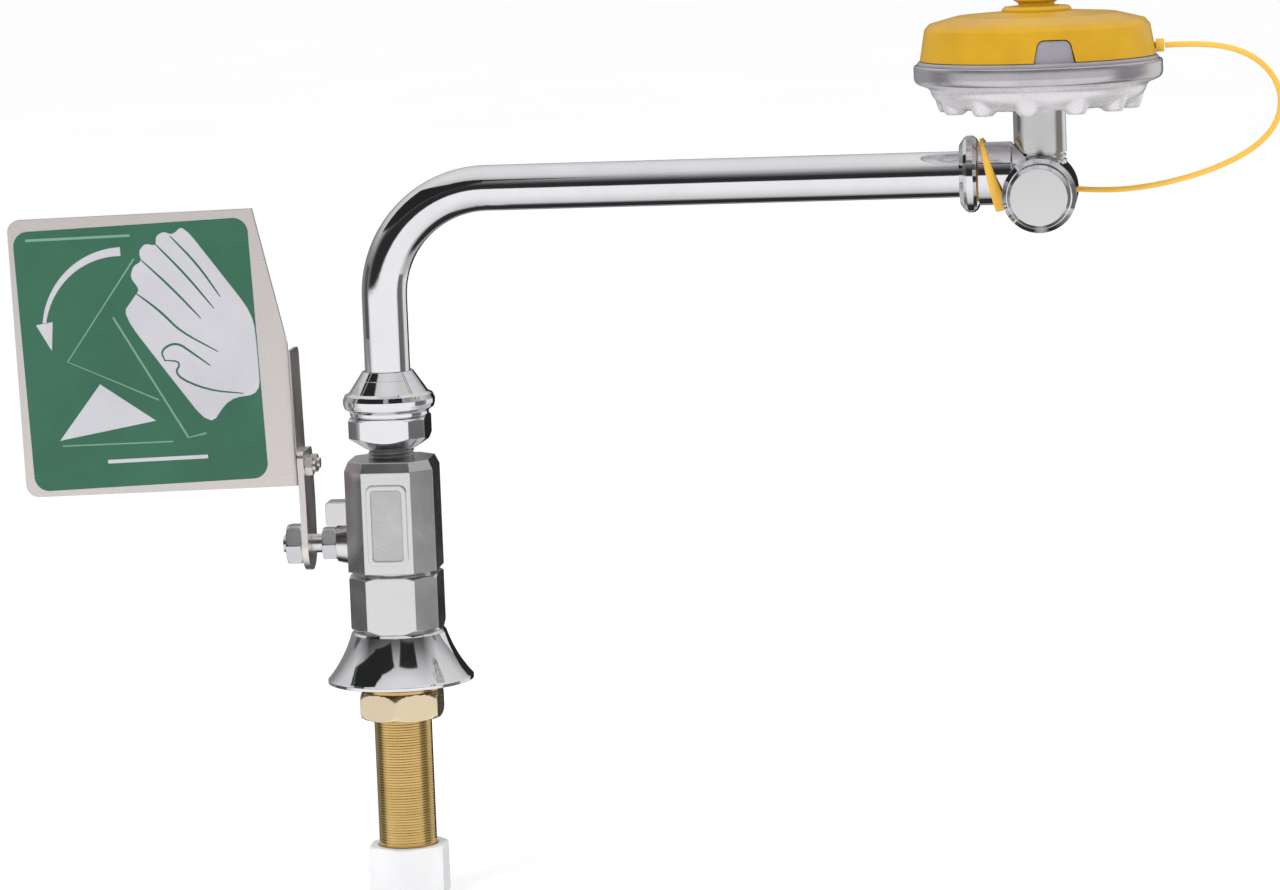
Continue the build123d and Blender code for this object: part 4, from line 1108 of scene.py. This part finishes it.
def studio_room():
    """A pale room: polished metal mirrors its dark front wall, grey back and white floor."""
    world = bpy.data.worlds.new("white_room")
    bpy.context.scene.world = world
    world.use_nodes = True
    tree = world.node_tree
    way = tree.nodes.new("ShaderNodeTexCoord").outputs["Generated"]
    parts = node(tree, "ShaderNodeSeparateXYZ", None, {0: way}).outputs
    height = calc(tree, "DIVIDE", calc(tree, "ARCSINE", parts[2]), math.pi)
    height = calc(tree, "ADD", height, 0.5)
    ahead = calc(tree, "MULTIPLY", parts[1], -1.0)
    round_way = calc(tree, "ABSOLUTE", calc(tree, "ARCTAN2", parts[0], ahead))
    front = span(tree, round_way, math.radians(68.0), math.radians(100.0), 1.0, 0.0)
    front_tones = tone_ramp(tree, height, (
        (-90.0, 0.6), (-62.0, 0.85), (-40.0, 0.98), (-3.4, 1.0), (-1.2, 0.03), (18.0, 0.025),
        (30.0, 0.16), (46.0, 0.5), (62.0, 0.78), (90.0, 0.86),
    ))
    back_tones = tone_ramp(tree, height, (
        (-90.0, 0.6), (-84.0, 0.4), (-77.0, 0.03), (-42.0, 0.03), (-34.0, 0.45), (-20.0, 0.55),
        (-12.0, 0.24), (10.0, 0.26), (26.0, 0.66), (60.0, 0.84), (90.0, 0.86),
    ))
    mirrored = blend_colour(tree, front, back_tones, front_tones)
    rays = tree.nodes.new("ShaderNodeLightPath").outputs
    room = blend_colour(tree, rays["Is Glossy Ray"], (0.985, 0.99, 1.0), mirrored)
    seen = blend_colour(tree, rays["Is Camera Ray"], room, (0.97, 0.972, 0.98))
    back = tree.nodes["Background"]
    tree.links.new(seen, back.inputs["Color"])
    back.inputs["Strength"].default_value = 1.0


def studio_light():
    """Two soft boxes, and a few cards that only the metal mirrors."""
    soft_box("key_light", (-1.2, -1.8, 2.2), (0.05, 0.0, 0.12), 1.2, 24.0)
    soft_box("side_light", (2.2, -0.8, 1.2), (0.1, 0.0, 0.12), 1.0, 8.0)
    studio_card("left_top_card", -72.0, 40.0, 1.8, 1.5, 0.9, 0.02)
    studio_card("right_line_card", 92.0, -4.0, 1.9, 1.0, 1.3, 0.16)
    studio_card("front_left_card", -34.0, 37.0, 2.0, 1.29, 0.85, 0.02)
    studio_card("front_right_card", 25.5, 37.0, 2.0, 1.13, 0.85, 0.02)
    studio_card("flange_card", 171.0, -7.0, 1.9, 1.4, 1.4, 0.02)
    studio_card("right_edge_card", 134.0, -6.0, 1.9, 1.2, 0.9, 0.8)
    studio_card("left_side_card", -101.0, -6.0, 1.9, 0.9, 1.0, 0.1)
    bpy.context.scene.view_settings.view_transform = "Standard"


place_camera()
dress_frame()
build_strap()
build_strap_loop()
build_shank()
build_column_nuts()
build_neck_thread()
build_stem_nuts()
build_head_shell()
build_outlet_jets()
build_pad_panel()
build_label_drawing()
studio_floor()
studio_room()
studio_light()
